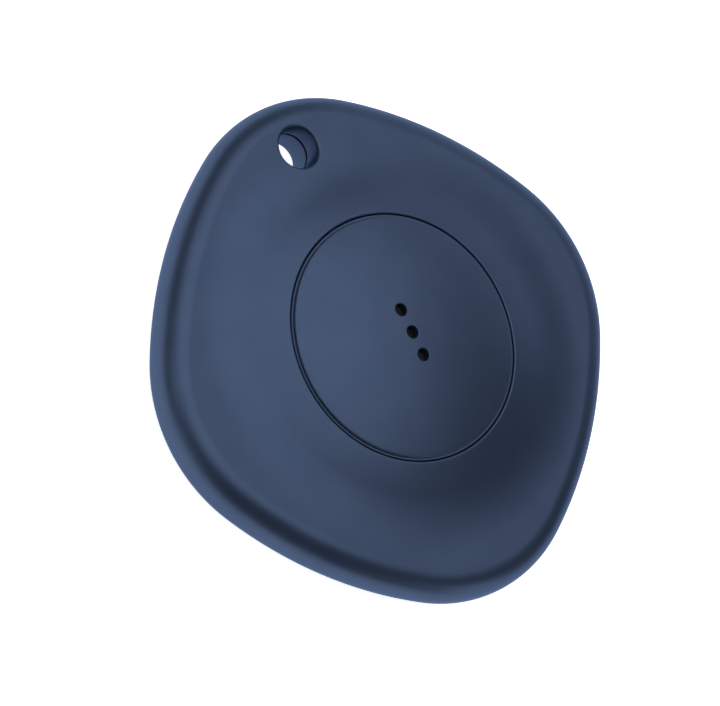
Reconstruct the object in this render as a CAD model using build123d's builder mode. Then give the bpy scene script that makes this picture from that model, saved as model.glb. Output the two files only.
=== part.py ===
"""Bluetooth tracker tag: a rounded-square pebble with a round push button over a coin cell.

Millimetres. +Z comes out of the front face, z = 0 is the flat foot of the rear shell,
+Y points to the lanyard hole, and the origin is the middle of the foot.
"""
from build123d import *
import os
from math import atan, cos, degrees, radians, sin, sqrt

# ---------------------------------------------------------------- outside of the case
across_flats = 39.0        # over the middles of two opposite sides
corner_swell = 1.55        # how much further a corner reaches than the middle of a side
side_radius = 34.9         # bulge of each side, seen from the front
rim_thickness = 4.3        # the rim's edge is one full round
rim_flat = 0.1             # straight band left in the middle of that round
flange_land = 0.15         # flat ring between the rim's round and the foot of the dome
seam_drop = 1.1            # the seam runs this far behind the rim's middle
seam_chamfer = 0.06
shell_wall = 1.25
rear_wall = 1.0            # under the coin cell

# ---------------------------------------------------------------- coin cell
cell_diameter = 20.0
cell_height = 3.2
cell_wall = 0.25           # steel of the can
cell_cap_wall = 0.2
cell_edge_round = 0.3
crimp_width = 0.8          # the can's edge turned in over the gasket
crimp_drop = 0.2           # the cap stands this much above the crimp
cap_inset = 1.4            # cap's side inside the can's side
cap_flange = 0.6           # foot of the cap held in the gasket
gasket_depth = 1.0
separator_thickness = 0.1
anode_clearance = 0.2

# ---------------------------------------------------------------- stack over the cell
cell_pad_thickness = 0.3
contact_gap = 0.55         # cell to board, taken up by the negative contact
board_thickness = 0.6
board_rim = 1.8            # board carried on past the room of the button's flange
board_clearance = 0.05     # rear shell's lip to the board's rear face
switch_height = 0.7
plunger_proud = 0.3
button_travel = 0.25
boss_height = 0.4          # carrier's boss over the switch
carrier_thickness = 0.3
ceramic_gap = 0.2
ceramic_thickness = 0.2
piezo_plate_thickness = 0.2
sound_chamber = 0.9        # air between the piezo plate and the button's crown
button_wall = 0.8

# ---------------------------------------------------------------- button
button_diameter = 19.5
button_gap = 0.25          # all round, between the button and the case
button_edge_round = 0.25
opening_edge_round = 0.15
shoulder_width = 2.5       # the crown runs on over the case this far past the button
button_flange = 1.55       # hidden step that keeps the button in
button_flange_height = 0.5
flange_clearance = 0.3
flange_roof_wall = 1.1     # case over the button's flange
skirt_wall = 0.85
ledge_width = 0.6          # seat of the piezo plate's edge
piezo_plate_radius = 7.2
ceramic_radius = 5.0
seat_clearance = 0.05
sound_hole_diameter = 1.0
sound_hole_pitch = 1.94
sound_hole_count = 3
mesh_margin = 0.35         # mesh past the outer sound holes
mesh_thickness = 0.1
return_ring_width = 1.1

# ---------------------------------------------------------------- joint of the two shells
rim_wall = 2.8             # front shell's wall outside the rear shell's lip
lip_wall = 0.9
lip_fit = 0.06
seal_width = 0.6
seal_height = 0.25

# ---------------------------------------------------------------- lanyard hole
hole_diameter = 3.4
hole_land = 0.06           # flat left between the hole's mouth and the rim's round
hole_boss_wall = 1.2
hole_flare = 0.25          # radius of the rounded mouths

# ---------------------------------------------------------------- tray, contacts, screws
cell_clearance = 0.25
tray_wall = 0.6
moat_gap = 0.1
notch_width = 3.8
notch_depth = 1.6
finger_notch_radius = 3.0
contact_thickness = 0.15
positive_width = 3.0
positive_gap = 0.05
negative_width = 2.4
negative_gap = 0.02
screw_count = 3
screw_radius = 0.4
screw_head_radius = 0.8
screw_head_height = 0.35
screw_depth = 1.1          # thread in the front shell
screw_edge = 0.9           # screw's axis, in from the board's edge
screw_hole_fit = 0.1
screw_slot = 0.25

# ---------------------------------------------------------------- parts on the board
switch_side = 3.4
switch_floor = 0.15
switch_lid = 0.18
plunger_radius = 0.8
plunger_flange = 0.25
plunger_fit = 0.05
dome_thickness = 0.05
dome_clearance = 0.03
spring_width = 0.7
spring_thickness = 0.12
spring_reach = 1.6

# ================================================================ heights, from the foot up
cell_bottom = rear_wall + cell_pad_thickness
cell_top = cell_bottom + cell_height
board_bottom = cell_top + contact_gap
board_top = board_bottom + board_thickness
switch_top = board_top + switch_height
plunger_top = switch_top + plunger_proud
carrier_bottom = plunger_top + boss_height
carrier_top = carrier_bottom + carrier_thickness
ceramic_bottom = carrier_top + ceramic_gap
plate_bottom = ceramic_bottom + ceramic_thickness
plate_top = plate_bottom + piezo_plate_thickness
chamber_roof = plate_top + sound_chamber
crown_top = chamber_roof + button_wall

rim_top = board_top + shell_wall
rim_bottom = rim_top - rim_thickness
rim_middle = (rim_top + rim_bottom) / 2
seam_z = rim_middle - seam_drop
lip_top = board_bottom - board_clearance
flange_floor = rim_bottom + shell_wall

# ================================================================ outline of the rim
flat_reach = across_flats / 2
corner_reach = flat_reach + corner_swell
side_centre = side_radius - flat_reach          # behind the origin, on each diagonal
side_shift = side_centre / sqrt(2)
# The corner's arc is the one that touches both neighbouring sides and the corner's tip.
corner_radius = ((corner_reach + side_shift) ** 2 + side_shift**2 - side_radius**2) / (
    2 * (corner_reach + side_shift - side_radius)
)
corner_centre = corner_reach - corner_radius
corner_half_angle = degrees(atan(side_shift / (corner_centre + side_shift)))
side_half_angle = 45 - corner_half_angle
rim_round = (rim_thickness - rim_flat) / 2

hole_radius = hole_diameter / 2
hole_y = corner_reach - rim_round - hole_land - hole_flare - hole_radius
hole_boss_radius = hole_radius + hole_boss_wall

# ================================================================ domes
button_radius = button_diameter / 2
opening_radius = button_radius + button_gap
shoulder_radius = opening_radius + shoulder_width
dome_foot = flat_reach - rim_round - flange_land
foot_radius = cell_diameter / 2 - rear_wall        # keeps the wall whole under the cell's edge

front_dome = crown_top - rim_top
front_slope = 2 * atan(front_dome / dome_foot)
crown_radius = shoulder_radius / sin(front_slope)
waist_radius = (dome_foot - shoulder_radius) / sin(front_slope)

rear_dome = rim_bottom
rear_slope = 2 * atan(rear_dome / (dome_foot - foot_radius))
bulge_radius = (shoulder_radius - foot_radius) / sin(rear_slope)
rear_waist_radius = (dome_foot - shoulder_radius) / sin(rear_slope)


def crown_z(radius):
    """Height of the front crown at this distance from the middle."""
    return crown_top - crown_radius + sqrt(crown_radius**2 - radius**2)


# ================================================================ sketches used more than once
def rim_outline(inset):
    """The rounded square of the rim, drawn in by inset all round."""
    with BuildSketch() as outline:
        with BuildLine():
            for quarter in range(4):
                corner_turn = 90 * quarter
                side_turn = corner_turn + 45
                CenterArc(
                    (corner_centre * cos(radians(corner_turn)), corner_centre * sin(radians(corner_turn))),
                    corner_radius - inset,
                    corner_turn - corner_half_angle,
                    2 * corner_half_angle,
                )
                CenterArc(
                    (-side_centre * cos(radians(side_turn)), -side_centre * sin(radians(side_turn))),
                    side_radius - inset,
                    side_turn - side_half_angle,
                    2 * side_half_angle,
                )
        make_face()
    return outline.sketch_local


def case_cavity(grow):
    """The room inside the lip, less the lanyard hole's boss, widened by grow all round."""
    with BuildSketch() as cavity:
        add(rim_outline(rim_wall + lip_wall - grow))
        with Locations((0, hole_y)):
            Circle(hole_boss_radius - grow, mode=Mode.SUBTRACT)
    return cavity.sketch_local


def lip_block(grow):
    """Everything of the rear shell that rises inside the front shell, widened by grow."""
    with BuildSketch() as block:
        add(rim_outline(rim_wall - grow))
        with Locations((0, hole_y)):
            Circle(hole_boss_radius + grow)
    return block.sketch_local


def turned_section(points):
    """A closed outline of (radius, height) points, to be turned about the Z axis."""
    with BuildSketch(Plane.XZ) as section:
        with BuildLine():
            Polyline(*points, close=True)
        make_face()
    return section.sketch


def turns_round(edge, radius):
    """True for a level circle of this radius about the Z axis."""
    if edge.geom_type != GeomType.CIRCLE or abs(edge.radius - radius) > 0.001:
        return False
    return abs(edge.arc_center.X) < 0.001 and abs(edge.arc_center.Y) < 0.001


def mouth_edges(shell_edges, low, high):
    """The edges of the lanyard hole's mouth, which lie on its wall between two heights."""

    def on_wall(edge):
        middle = edge.position_at(0.5)
        off_wall = abs(Vector(middle.X, middle.Y - hole_y).length - hole_radius)
        return off_wall < 0.001 and low < middle.Z < high and edge.position_at(0).Z > low

    return shell_edges.filter_by(on_wall)


def hole_cutter():
    """The lanyard hole right through, with the seam's small V in its wall."""
    above = rim_top + shell_wall
    below = rim_bottom - shell_wall
    with BuildPart() as cutter:
        wall_points = [
            (0, below),
            (hole_radius, below),
            (hole_radius, lip_top - seam_chamfer),
            (hole_radius + seam_chamfer, lip_top),
            (hole_radius, lip_top + seam_chamfer),
            (hole_radius, above),
            (0, above),
        ]
        revolve(turned_section(wall_points), axis=Axis.Z)
    return Pos(0, hole_y, 0) * cutter.part


# ================================================================ case
# The whole pebble, solid, before it is parted into two shells.
with BuildPart() as pebble:
    with BuildSketch(Plane.XY.offset(rim_bottom)):
        add(rim_outline(0))
    extrude(amount=rim_thickness)
    fillet(pebble.edges().filter_by(GeomType.CIRCLE).group_by(Axis.Z)[0], rim_round)
    fillet(pebble.edges().filter_by(GeomType.CIRCLE).group_by(Axis.Z)[-1], rim_round)
    with BuildSketch(Plane.XZ):
        with BuildLine():
            crown_edge = (shoulder_radius, crown_z(shoulder_radius))
            waist_edge = (dome_foot, rim_top)
            bulge_edge = (shoulder_radius, bulge_radius * (1 - cos(rear_slope)))
            Line((0, 0), (foot_radius, 0))
            RadiusArc((foot_radius, 0), bulge_edge, -bulge_radius)
            RadiusArc(bulge_edge, (dome_foot, rim_bottom), rear_waist_radius)
            Line((dome_foot, rim_bottom), waist_edge)
            RadiusArc(waist_edge, crown_edge, waist_radius)
            RadiusArc(crown_edge, (0, crown_top), -crown_radius)
            Line((0, crown_top), (0, 0))
        make_face()
    revolve(axis=Axis.Z)

flange_radius = button_radius + button_flange
flange_pocket = flange_radius + flange_clearance
flange_top = crown_z(flange_pocket) - flange_roof_wall
flange_bottom = flange_top - button_flange_height
board_radius = flange_pocket + board_rim
screw_ring = board_radius - screw_edge
screw_angle = 360 / screw_count
first_screw = 30

with BuildPart() as front_shell:
    add(pebble.part)
    split(bisect_by=Plane.XY.offset(seam_z), keep=Keep.TOP)
    chamfer(front_shell.faces().sort_by(Axis.Z)[0].outer_wire().edges(), seam_chamfer)
    with BuildSketch(Plane.XY.offset(seam_z)):
        add(lip_block(lip_fit))
    extrude(amount=lip_top - seam_z, mode=Mode.SUBTRACT)
    with BuildSketch(Plane.XY.offset(lip_top)):
        add(case_cavity(0))
    extrude(amount=board_top - lip_top, mode=Mode.SUBTRACT)
    with BuildSketch(Plane.XY.offset(board_top)):
        Circle(flange_pocket)
    extrude(amount=flange_top - board_top, mode=Mode.SUBTRACT)
    with BuildSketch(Plane.XY.offset(flange_top)):
        Circle(opening_radius)
    extrude(amount=crown_top - flange_top, mode=Mode.SUBTRACT)
    opening_edges = front_shell.edges().filter_by(lambda e: turns_round(e, opening_radius))
    fillet(opening_edges.sort_by(Axis.Z)[-1], opening_edge_round)
    with BuildSketch(Plane.XY.offset(board_top)):
        with PolarLocations(screw_ring, screw_count, start_angle=first_screw):
            Circle(screw_radius)
    extrude(amount=screw_depth, mode=Mode.SUBTRACT)
    add(hole_cutter(), mode=Mode.SUBTRACT)
    fillet(mouth_edges(front_shell.edges(), rim_top - hole_flare, crown_top), hole_flare)
front_shell.part.label = "front_shell"

cell_radius = cell_diameter / 2
pocket_radius = cell_radius + cell_clearance
tray_radius = pocket_radius + tray_wall
moat_inner = tray_radius + moat_gap
moat_outer = (shoulder_radius + dome_foot) / 2
moat_floor = rear_wall + shell_wall / 2

with BuildPart() as rear_shell:
    add(pebble.part)
    split(bisect_by=Plane.XY.offset(seam_z), keep=Keep.BOTTOM)
    chamfer(rear_shell.faces().sort_by(Axis.Z)[-1].outer_wire().edges(), seam_chamfer)
    with BuildSketch(Plane.XY.offset(seam_z)):
        add(lip_block(0))
    extrude(amount=lip_top - seam_z)
    with BuildSketch(Plane.XY.offset(flange_floor)):
        add(case_cavity(0))
    extrude(amount=lip_top - flange_floor, mode=Mode.SUBTRACT)
    with BuildSketch(Plane.XY.offset(lip_top - seal_height)):
        add(case_cavity(seal_width))
    extrude(amount=seal_height, mode=Mode.SUBTRACT)
    with BuildSketch(Plane.XY.offset(rear_wall)):
        Circle(pocket_radius)
    extrude(amount=lip_top - rear_wall, mode=Mode.SUBTRACT)
    moat_points = [
        (moat_inner, flange_floor),
        (moat_inner, moat_floor),
        (moat_outer, flange_floor),
    ]
    revolve(turned_section(moat_points), axis=Axis.Z, mode=Mode.SUBTRACT)
    # Gap in the tray's wall for the positive contact, and one for a finger opposite it.
    with BuildSketch(Plane.XY.offset(flange_floor - notch_depth)):
        with Locations((moat_inner, 0)):
            Rectangle(2 * (moat_inner - cell_radius), notch_width)
    extrude(amount=notch_depth, mode=Mode.SUBTRACT)
    with BuildSketch(Plane.XY.offset(flange_floor - notch_depth)):
        with Locations((-tray_radius, 0)):
            Circle(finger_notch_radius)
    extrude(amount=notch_depth, mode=Mode.SUBTRACT)
    add(hole_cutter(), mode=Mode.SUBTRACT)
    fillet(mouth_edges(rear_shell.edges(), 0, rim_bottom + hole_flare), hole_flare)
rear_shell.part.label = "rear_shell"

with BuildPart() as case_seal:
    with BuildSketch(Plane.XY.offset(lip_top - seal_height)):
        add(case_cavity(seal_width))
        add(case_cavity(0), mode=Mode.SUBTRACT)
    extrude(amount=seal_height)
case_seal.part.label = "case_seal"

# ================================================================ coin cell
crimp_top = cell_top - crimp_drop
cap_radius = cell_radius - cap_inset
cap_foot = crimp_top - cell_wall - cell_cap_wall
can_bore = cell_radius - cell_wall

with BuildPart() as cell_pad:
    with BuildSketch(Plane.XY.offset(rear_wall)):
        Circle(foot_radius)
    extrude(amount=cell_pad_thickness)
cell_pad.part.label = "cell_pad"

with BuildPart() as cell_can:
    can_points = [
        (0, cell_bottom),
        (cell_radius, cell_bottom),
        (cell_radius, crimp_top),
        (cell_radius - crimp_width, crimp_top),
        (cell_radius - crimp_width, crimp_top - cell_wall),
        (can_bore, crimp_top - cell_wall),
        (can_bore, cell_bottom + cell_wall),
        (0, cell_bottom + cell_wall),
    ]
    revolve(turned_section(can_points), axis=Axis.Z)
    outer_rims = cell_can.edges().filter_by(lambda e: turns_round(e, cell_radius))
    fillet(outer_rims.sort_by(Axis.Z)[0], cell_edge_round)
    fillet(outer_rims.sort_by(Axis.Z)[-1], cell_wall / 2)
cell_can.part.label = "cell_can"

with BuildPart() as cell_cap:
    cap_points = [
        (0, cell_top),
        (cap_radius, cell_top),
        (cap_radius, cap_foot),
        (cap_radius + cap_flange, cap_foot),
        (cap_radius + cap_flange, cap_foot - cell_cap_wall),
        (cap_radius - cell_cap_wall, cap_foot - cell_cap_wall),
        (cap_radius - cell_cap_wall, cell_top - cell_cap_wall),
        (0, cell_top - cell_cap_wall),
    ]
    revolve(turned_section(cap_points), axis=Axis.Z)
    cap_rims = cell_cap.edges().filter_by(lambda e: turns_round(e, cap_radius))
    fillet(cap_rims.sort_by(Axis.Z)[-1], cell_cap_wall / 2)
cell_cap.part.label = "cell_cap"

gasket_bottom = cell_top - gasket_depth
with BuildPart() as cell_gasket:
    gasket_points = [
        (cap_radius, crimp_top),
        (cell_radius - crimp_width, crimp_top),
        (cell_radius - crimp_width, crimp_top - cell_wall),
        (can_bore, crimp_top - cell_wall),
        (can_bore, gasket_bottom),
        (cap_radius, gasket_bottom),
        (cap_radius, cap_foot - cell_cap_wall),
        (cap_radius + cap_flange, cap_foot - cell_cap_wall),
        (cap_radius + cap_flange, cap_foot),
        (cap_radius, cap_foot),
    ]
    revolve(turned_section(gasket_points), axis=Axis.Z)
cell_gasket.part.label = "cell_gasket"

cathode_top = gasket_bottom - separator_thickness
with BuildPart() as cell_cathode:
    with BuildSketch(Plane.XY.offset(cell_bottom + cell_wall)):
        Circle(can_bore)
    extrude(amount=cathode_top - cell_bottom - cell_wall)
cell_cathode.part.label = "cell_cathode"

with BuildPart() as cell_separator:
    with BuildSketch(Plane.XY.offset(cathode_top)):
        Circle(can_bore)
    extrude(amount=separator_thickness)
cell_separator.part.label = "cell_separator"

with BuildPart() as cell_anode:
    with BuildSketch(Plane.XY.offset(gasket_bottom)):
        Circle(cap_radius - cell_cap_wall - anode_clearance)
    extrude(amount=cell_top - cell_cap_wall - gasket_bottom)
cell_anode.part.label = "cell_anode"

# ================================================================ board, its screws and contacts
with BuildPart() as circuit_board:
    with BuildSketch(Plane.XY.offset(board_bottom)):
        Circle(board_radius)
        with PolarLocations(screw_ring, screw_count, start_angle=first_screw):
            Circle(screw_radius + screw_hole_fit, mode=Mode.SUBTRACT)
        with Locations((0, hole_y)):
            Circle(hole_boss_radius + flange_clearance, mode=Mode.SUBTRACT)
    extrude(amount=board_thickness)
circuit_board.part.label = "circuit_board"

with BuildPart() as board_screws:
    with BuildSketch(Plane.XY.offset(board_bottom)):
        with PolarLocations(screw_ring, screw_count, start_angle=first_screw):
            Circle(screw_radius)
    extrude(amount=board_thickness + screw_depth)
    with BuildSketch(Plane.XY.offset(board_bottom)):
        with PolarLocations(screw_ring, screw_count, start_angle=first_screw):
            Circle(screw_head_radius)
    extrude(amount=-screw_head_height)
    with BuildSketch(Plane.XY.offset(board_bottom - screw_head_height)):
        with PolarLocations(screw_ring, screw_count, start_angle=first_screw):
            Rectangle(screw_head_radius, screw_slot)
            Rectangle(screw_slot, screw_head_radius)
    extrude(amount=screw_head_height / 2, mode=Mode.SUBTRACT)
board_screws.part.label = "board_screws"

positive_inner = cell_radius + positive_gap
positive_foot = positive_inner + 2
positive_drop = cell_height * 0.6
with BuildPart() as positive_contact:
    with BuildSketch(Plane.XZ):
        with BuildLine():
            Polyline(
                (positive_inner, board_bottom),
                (positive_foot, board_bottom),
                (positive_foot, board_bottom - contact_thickness),
                (positive_inner + contact_thickness, board_bottom - contact_thickness),
                (positive_inner + contact_thickness, board_bottom - positive_drop),
                (positive_inner, board_bottom - positive_drop),
                close=True,
            )
        make_face()
    extrude(amount=positive_width / 2, both=True)
positive_contact.part.label = "positive_contact"

negative_root = -cell_radius / 2
negative_low = cell_top + negative_gap
negative_points = [(negative_root, board_bottom), (negative_root / 2, board_bottom)]
negative_points += [(0.6, negative_low + contact_thickness), (1.4, board_bottom - contact_thickness)]
with BuildPart() as negative_contact:
    with BuildSketch(Plane.XZ):
        with BuildLine():
            lower_side = [(x, z - contact_thickness) for x, z in reversed(negative_points)]
            Polyline(*negative_points, *lower_side, close=True)
        make_face()
    extrude(amount=negative_width / 2, both=True)
negative_contact.part.label = "negative_contact"

# ================================================================ switch
switch_cavity = plunger_radius + plunger_flange + plunger_fit
dome_base = board_top + switch_floor
dome_rise = button_travel + dome_clearance
plunger_bottom = dome_base + dome_rise
plunger_shoulder = switch_top - switch_lid

with BuildPart() as switch_body:
    with BuildSketch(Plane.XY.offset(board_top)):
        RectangleRounded(switch_side, switch_side, switch_side / 12)
    extrude(amount=switch_height)
    with BuildSketch(Plane.XY.offset(dome_base)):
        Circle(switch_cavity)
    extrude(amount=plunger_shoulder - dome_base, mode=Mode.SUBTRACT)
    with BuildSketch(Plane.XY.offset(plunger_shoulder)):
        Circle(plunger_radius + plunger_fit)
    extrude(amount=switch_lid, mode=Mode.SUBTRACT)
switch_body.part.label = "switch_body"

dome_edge = switch_cavity - plunger_fit
dome_curve = (dome_edge**2 + dome_rise**2) / (2 * dome_rise)
with BuildPart() as switch_dome:
    with BuildSketch(Plane.XZ):
        with BuildLine():
            inner_edge = sqrt((dome_curve - dome_thickness) ** 2 - (dome_curve - dome_rise) ** 2)
            RadiusArc((dome_edge, dome_base), (0, dome_base + dome_rise), -dome_curve)
            Line((0, dome_base + dome_rise), (0, dome_base + dome_rise - dome_thickness))
            RadiusArc(
                (0, dome_base + dome_rise - dome_thickness),
                (inner_edge, dome_base),
                dome_curve - dome_thickness,
            )
            Line((inner_edge, dome_base), (dome_edge, dome_base))
        make_face()
    revolve(axis=Axis.Z)
switch_dome.part.label = "switch_dome"

with BuildPart() as switch_plunger:
    plunger_points = [
        (0, plunger_bottom),
        (plunger_radius + plunger_flange, plunger_bottom),
        (plunger_radius + plunger_flange, plunger_shoulder - dome_clearance),
        (plunger_radius, plunger_shoulder - dome_clearance),
        (plunger_radius, plunger_top),
        (0, plunger_top),
    ]
    revolve(turned_section(plunger_points), axis=Axis.Z)
switch_plunger.part.label = "switch_plunger"

# ================================================================ button and buzzer
skirt_radius = button_radius - skirt_wall
seat_radius = piezo_plate_radius + seat_clearance
chamber_radius = piezo_plate_radius - ledge_width
mesh_radius = (sound_hole_count - 1) / 2 * sound_hole_pitch + sound_hole_diameter / 2 + mesh_margin

with BuildPart() as button_cap:
    with BuildSketch(Plane.XZ):
        with BuildLine():
            crown_start = (button_radius, crown_z(button_radius))
            Line((button_radius, flange_top), crown_start)
            RadiusArc(crown_start, (0, crown_top), -crown_radius)
            Polyline(
                (0, crown_top),
                (0, chamber_roof),
                (mesh_radius + seat_clearance, chamber_roof),
                (chamber_radius, crown_z(chamber_radius) - button_wall),
                (chamber_radius, plate_top),
                (seat_radius, plate_top),
                (seat_radius, carrier_top),
                (skirt_radius, carrier_top),
                (skirt_radius, flange_bottom),
                (flange_radius, flange_bottom),
                (flange_radius, flange_top),
                (button_radius, flange_top),
            )
        make_face()
    revolve(axis=Axis.Z)
    button_rims = button_cap.edges().filter_by(lambda e: turns_round(e, button_radius))
    fillet(button_rims.sort_by(Axis.Z)[-1], button_edge_round)
    with BuildSketch(Plane.XY.offset(chamber_roof)):
        with GridLocations(0, sound_hole_pitch, 1, sound_hole_count):
            Circle(sound_hole_diameter / 2)
    extrude(amount=button_wall * 2, mode=Mode.SUBTRACT)
button_cap.part.label = "button_cap"

with BuildPart() as acoustic_mesh:
    with BuildSketch(Plane.XY.offset(chamber_roof - mesh_thickness)):
        Circle(mesh_radius)
    extrude(amount=mesh_thickness)
acoustic_mesh.part.label = "acoustic_mesh"

with BuildPart() as piezo_plate:
    with BuildSketch(Plane.XY.offset(plate_bottom)):
        Circle(piezo_plate_radius)
    extrude(amount=piezo_plate_thickness)
piezo_plate.part.label = "piezo_plate"

with BuildPart() as piezo_ceramic:
    with BuildSketch(Plane.XY.offset(ceramic_bottom)):
        Circle(ceramic_radius)
    extrude(amount=ceramic_thickness)
piezo_ceramic.part.label = "piezo_ceramic"

# The spring that feeds the plate stands outside the ceramic, the other one inside its edge.
plate_spring_arm = (ceramic_radius + chamber_radius) / 2
plate_spring = (plate_spring_arm * cos(radians(45)), -plate_spring_arm * sin(radians(45)))
ceramic_spring = (-ceramic_radius / 4, -ceramic_radius * 0.75)
with BuildPart() as piezo_carrier:
    with BuildSketch(Plane.XY.offset(carrier_bottom)):
        Circle(skirt_radius - seat_clearance)
    extrude(amount=carrier_thickness)
    with BuildSketch(Plane.XY.offset(carrier_top)):
        Circle(piezo_plate_radius)
        Circle(chamber_radius, mode=Mode.SUBTRACT)
    extrude(amount=plate_bottom - carrier_top)
    with BuildSketch(Plane.XY.offset(plunger_top)):
        Circle(plunger_radius * 1.5)
    extrude(amount=boss_height)
    with BuildSketch(Plane.XY.offset(carrier_bottom)):
        with Locations(plate_spring, ceramic_spring):
            Rectangle(spring_reach + spring_width, spring_width * 2)
    extrude(amount=carrier_thickness, mode=Mode.SUBTRACT)
piezo_carrier.part.label = "piezo_carrier"


def leaf_spring(place, top):
    """A Z-shaped leaf from the board up to top: a foot, a slope and a contact bend."""
    x, y = place
    half = spring_reach / 2
    upper = top - spring_thickness
    points = [
        (x - half, board_top),
        (x + half, board_top),
        (x + half, board_top + spring_thickness),
        (x - half + 2 * spring_thickness, board_top + spring_thickness),
        (x + half, (board_top + top) / 2),
        (x - half + spring_thickness, upper),
        (x + half, upper),
        (x + half, top),
        (x - half, top),
        (x - half, upper),
        (x + half - 2 * spring_thickness, (board_top + top) / 2),
        (x - half, board_top + spring_thickness),
    ]
    with BuildPart() as leaf:
        with BuildSketch(Plane.XZ.offset(-y)):
            with BuildLine():
                Polyline(*points, close=True)
            make_face()
        extrude(amount=spring_width / 2, both=True)
    return leaf.part


with BuildPart() as piezo_springs:
    add(leaf_spring(plate_spring, plate_bottom))
    add(leaf_spring(ceramic_spring, ceramic_bottom))
piezo_springs.part.label = "piezo_springs"

ring_inner = (opening_radius + flange_radius - return_ring_width) / 2
with BuildPart() as button_return_ring:
    with BuildSketch(Plane.XY.offset(board_top)):
        Circle(ring_inner + return_ring_width)
        Circle(ring_inner, mode=Mode.SUBTRACT)
    extrude(amount=flange_bottom - board_top)
button_return_ring.part.label = "button_return_ring"

# ================================================================ chips and small parts
# Each entry: length along X, width along Y, height, and the middle of each piece.
chip_row_y = 5.2
resistor_row_y = -6.6
small_pitch = 1.5
packages = {
    "bluetooth_chip": (5.0, 5.0, 0.85, [(-5.0, 1.6)]),
    "buzzer_driver_chip": (3.0, 3.0, 0.6, [(5.4, -0.6)]),
    "boost_inductor": (2.5, 2.0, 1.0, [(5.2, 2.6)]),
    "chip_antenna": (3.2, 1.6, 0.9, [(0.0, 7.0)]),
    "crystals": (1.6, 1.2, 0.5, [(-4.4, -2.4), (-6.7, -2.6)]),
    "capacitors": (1.0, 0.5, 0.5, [(small_pitch * (k - 2) - 0.6, chip_row_y) for k in range(5)]),
    "resistors": (1.0, 0.5, 0.35, [(small_pitch * (k - 1.5), resistor_row_y) for k in range(4)]),
}


def board_package(length, width, height, places):
    """Equal blocks standing on the board's front face."""
    with BuildPart() as package:
        with BuildSketch(Plane.XY.offset(board_top)):
            with Locations(*places):
                Rectangle(length, width)
        extrude(amount=height)
    return package.part


pieces = [
    front_shell.part, rear_shell.part, case_seal.part,
    cell_pad.part, cell_can.part, cell_cap.part, cell_gasket.part,
    cell_cathode.part, cell_separator.part, cell_anode.part,
    circuit_board.part, board_screws.part, positive_contact.part, negative_contact.part,
    switch_body.part, switch_dome.part, switch_plunger.part,
    button_cap.part, acoustic_mesh.part, piezo_plate.part, piezo_ceramic.part,
    piezo_carrier.part, piezo_springs.part, button_return_ring.part,
]
for package_name, package_sizes in packages.items():
    piece = board_package(*package_sizes)
    piece.label = package_name
    pieces.append(piece)

os.makedirs("parts", exist_ok=True)
for piece in pieces:
    export_step(piece, f"parts/{piece.label}.step")

print(f"case {across_flats} x {crown_top:.2f} mm, rim {rim_bottom:.2f} to {rim_top:.2f}, seam {seam_z:.2f}")
print(f"lip {lip_top:.2f}, board {board_bottom:.2f} to {board_top:.2f}, flange {flange_bottom:.2f} to {flange_top:.2f}")
print(f"lanyard hole at y {hole_y:.3f}, dome foot {dome_foot:.2f}, foot radius {foot_radius:.2f}")
print(f"corner radius {corner_radius:.2f}, crown radius {crown_radius:.2f}, waist radius {waist_radius:.2f}")
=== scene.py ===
"""Bluetooth tracker tag: the looks of its shells, its button and all they hold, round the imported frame."""

from functools import partial
from math import acos, asin, atan, cos, degrees, hypot, pi, radians, sin, sqrt
from types import SimpleNamespace

import bmesh
import bpy
import numpy as np
from mathutils import Matrix, Vector
from mathutils.geometry import delaunay_2d_cdt


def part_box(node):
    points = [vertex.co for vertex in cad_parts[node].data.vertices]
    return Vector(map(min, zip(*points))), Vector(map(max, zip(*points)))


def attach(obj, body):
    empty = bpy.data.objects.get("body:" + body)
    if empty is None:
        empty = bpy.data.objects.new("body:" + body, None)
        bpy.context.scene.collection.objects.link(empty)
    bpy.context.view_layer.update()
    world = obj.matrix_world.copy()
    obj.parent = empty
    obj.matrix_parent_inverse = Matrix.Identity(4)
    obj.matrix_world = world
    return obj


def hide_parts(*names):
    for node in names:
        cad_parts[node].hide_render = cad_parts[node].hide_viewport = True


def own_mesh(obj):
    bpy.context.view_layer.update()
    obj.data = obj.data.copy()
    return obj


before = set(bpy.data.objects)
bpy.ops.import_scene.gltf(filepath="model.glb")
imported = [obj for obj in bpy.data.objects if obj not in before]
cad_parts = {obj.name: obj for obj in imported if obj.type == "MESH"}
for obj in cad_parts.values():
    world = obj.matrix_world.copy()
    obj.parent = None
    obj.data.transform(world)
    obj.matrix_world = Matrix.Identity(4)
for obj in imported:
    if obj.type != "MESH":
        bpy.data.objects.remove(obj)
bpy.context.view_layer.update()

bl_info = {
    "name": "Tracker tag",
    "version": (1, 0, 0),
    "blender": (4, 5, 0),
    "location": "3D View > Sidebar > Tracker tag",
    "description": "Builds a rounded-square finder tag with a push button round its packed frame",
    "category": "Add Mesh",
}

MM = 0.001


# ================================================================ sizes and colours a user would change
def length(name, text, millimetres):
    """A length property, its default in millimetres."""
    return bpy.props.FloatProperty(
        name=name, description=text, default=millimetres * MM, min=0, precision=5, subtype="DISTANCE",
        unit="LENGTH",
    )


def angle(name, text, turn):
    """An angle property, its default in degrees."""
    return bpy.props.FloatProperty(
        name=name, description=text, default=radians(turn), subtype="ANGLE", unit="ROTATION"
    )


def share(name, text, value):
    """A plain number property: a strength, a share or a focal length."""
    return bpy.props.FloatProperty(name=name, description=text, default=value, min=0)


def hex_colour(name, text, value):
    """A colour property, written as an sRGB hex value."""
    return bpy.props.StringProperty(name=name, description=text, default=value)


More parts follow.
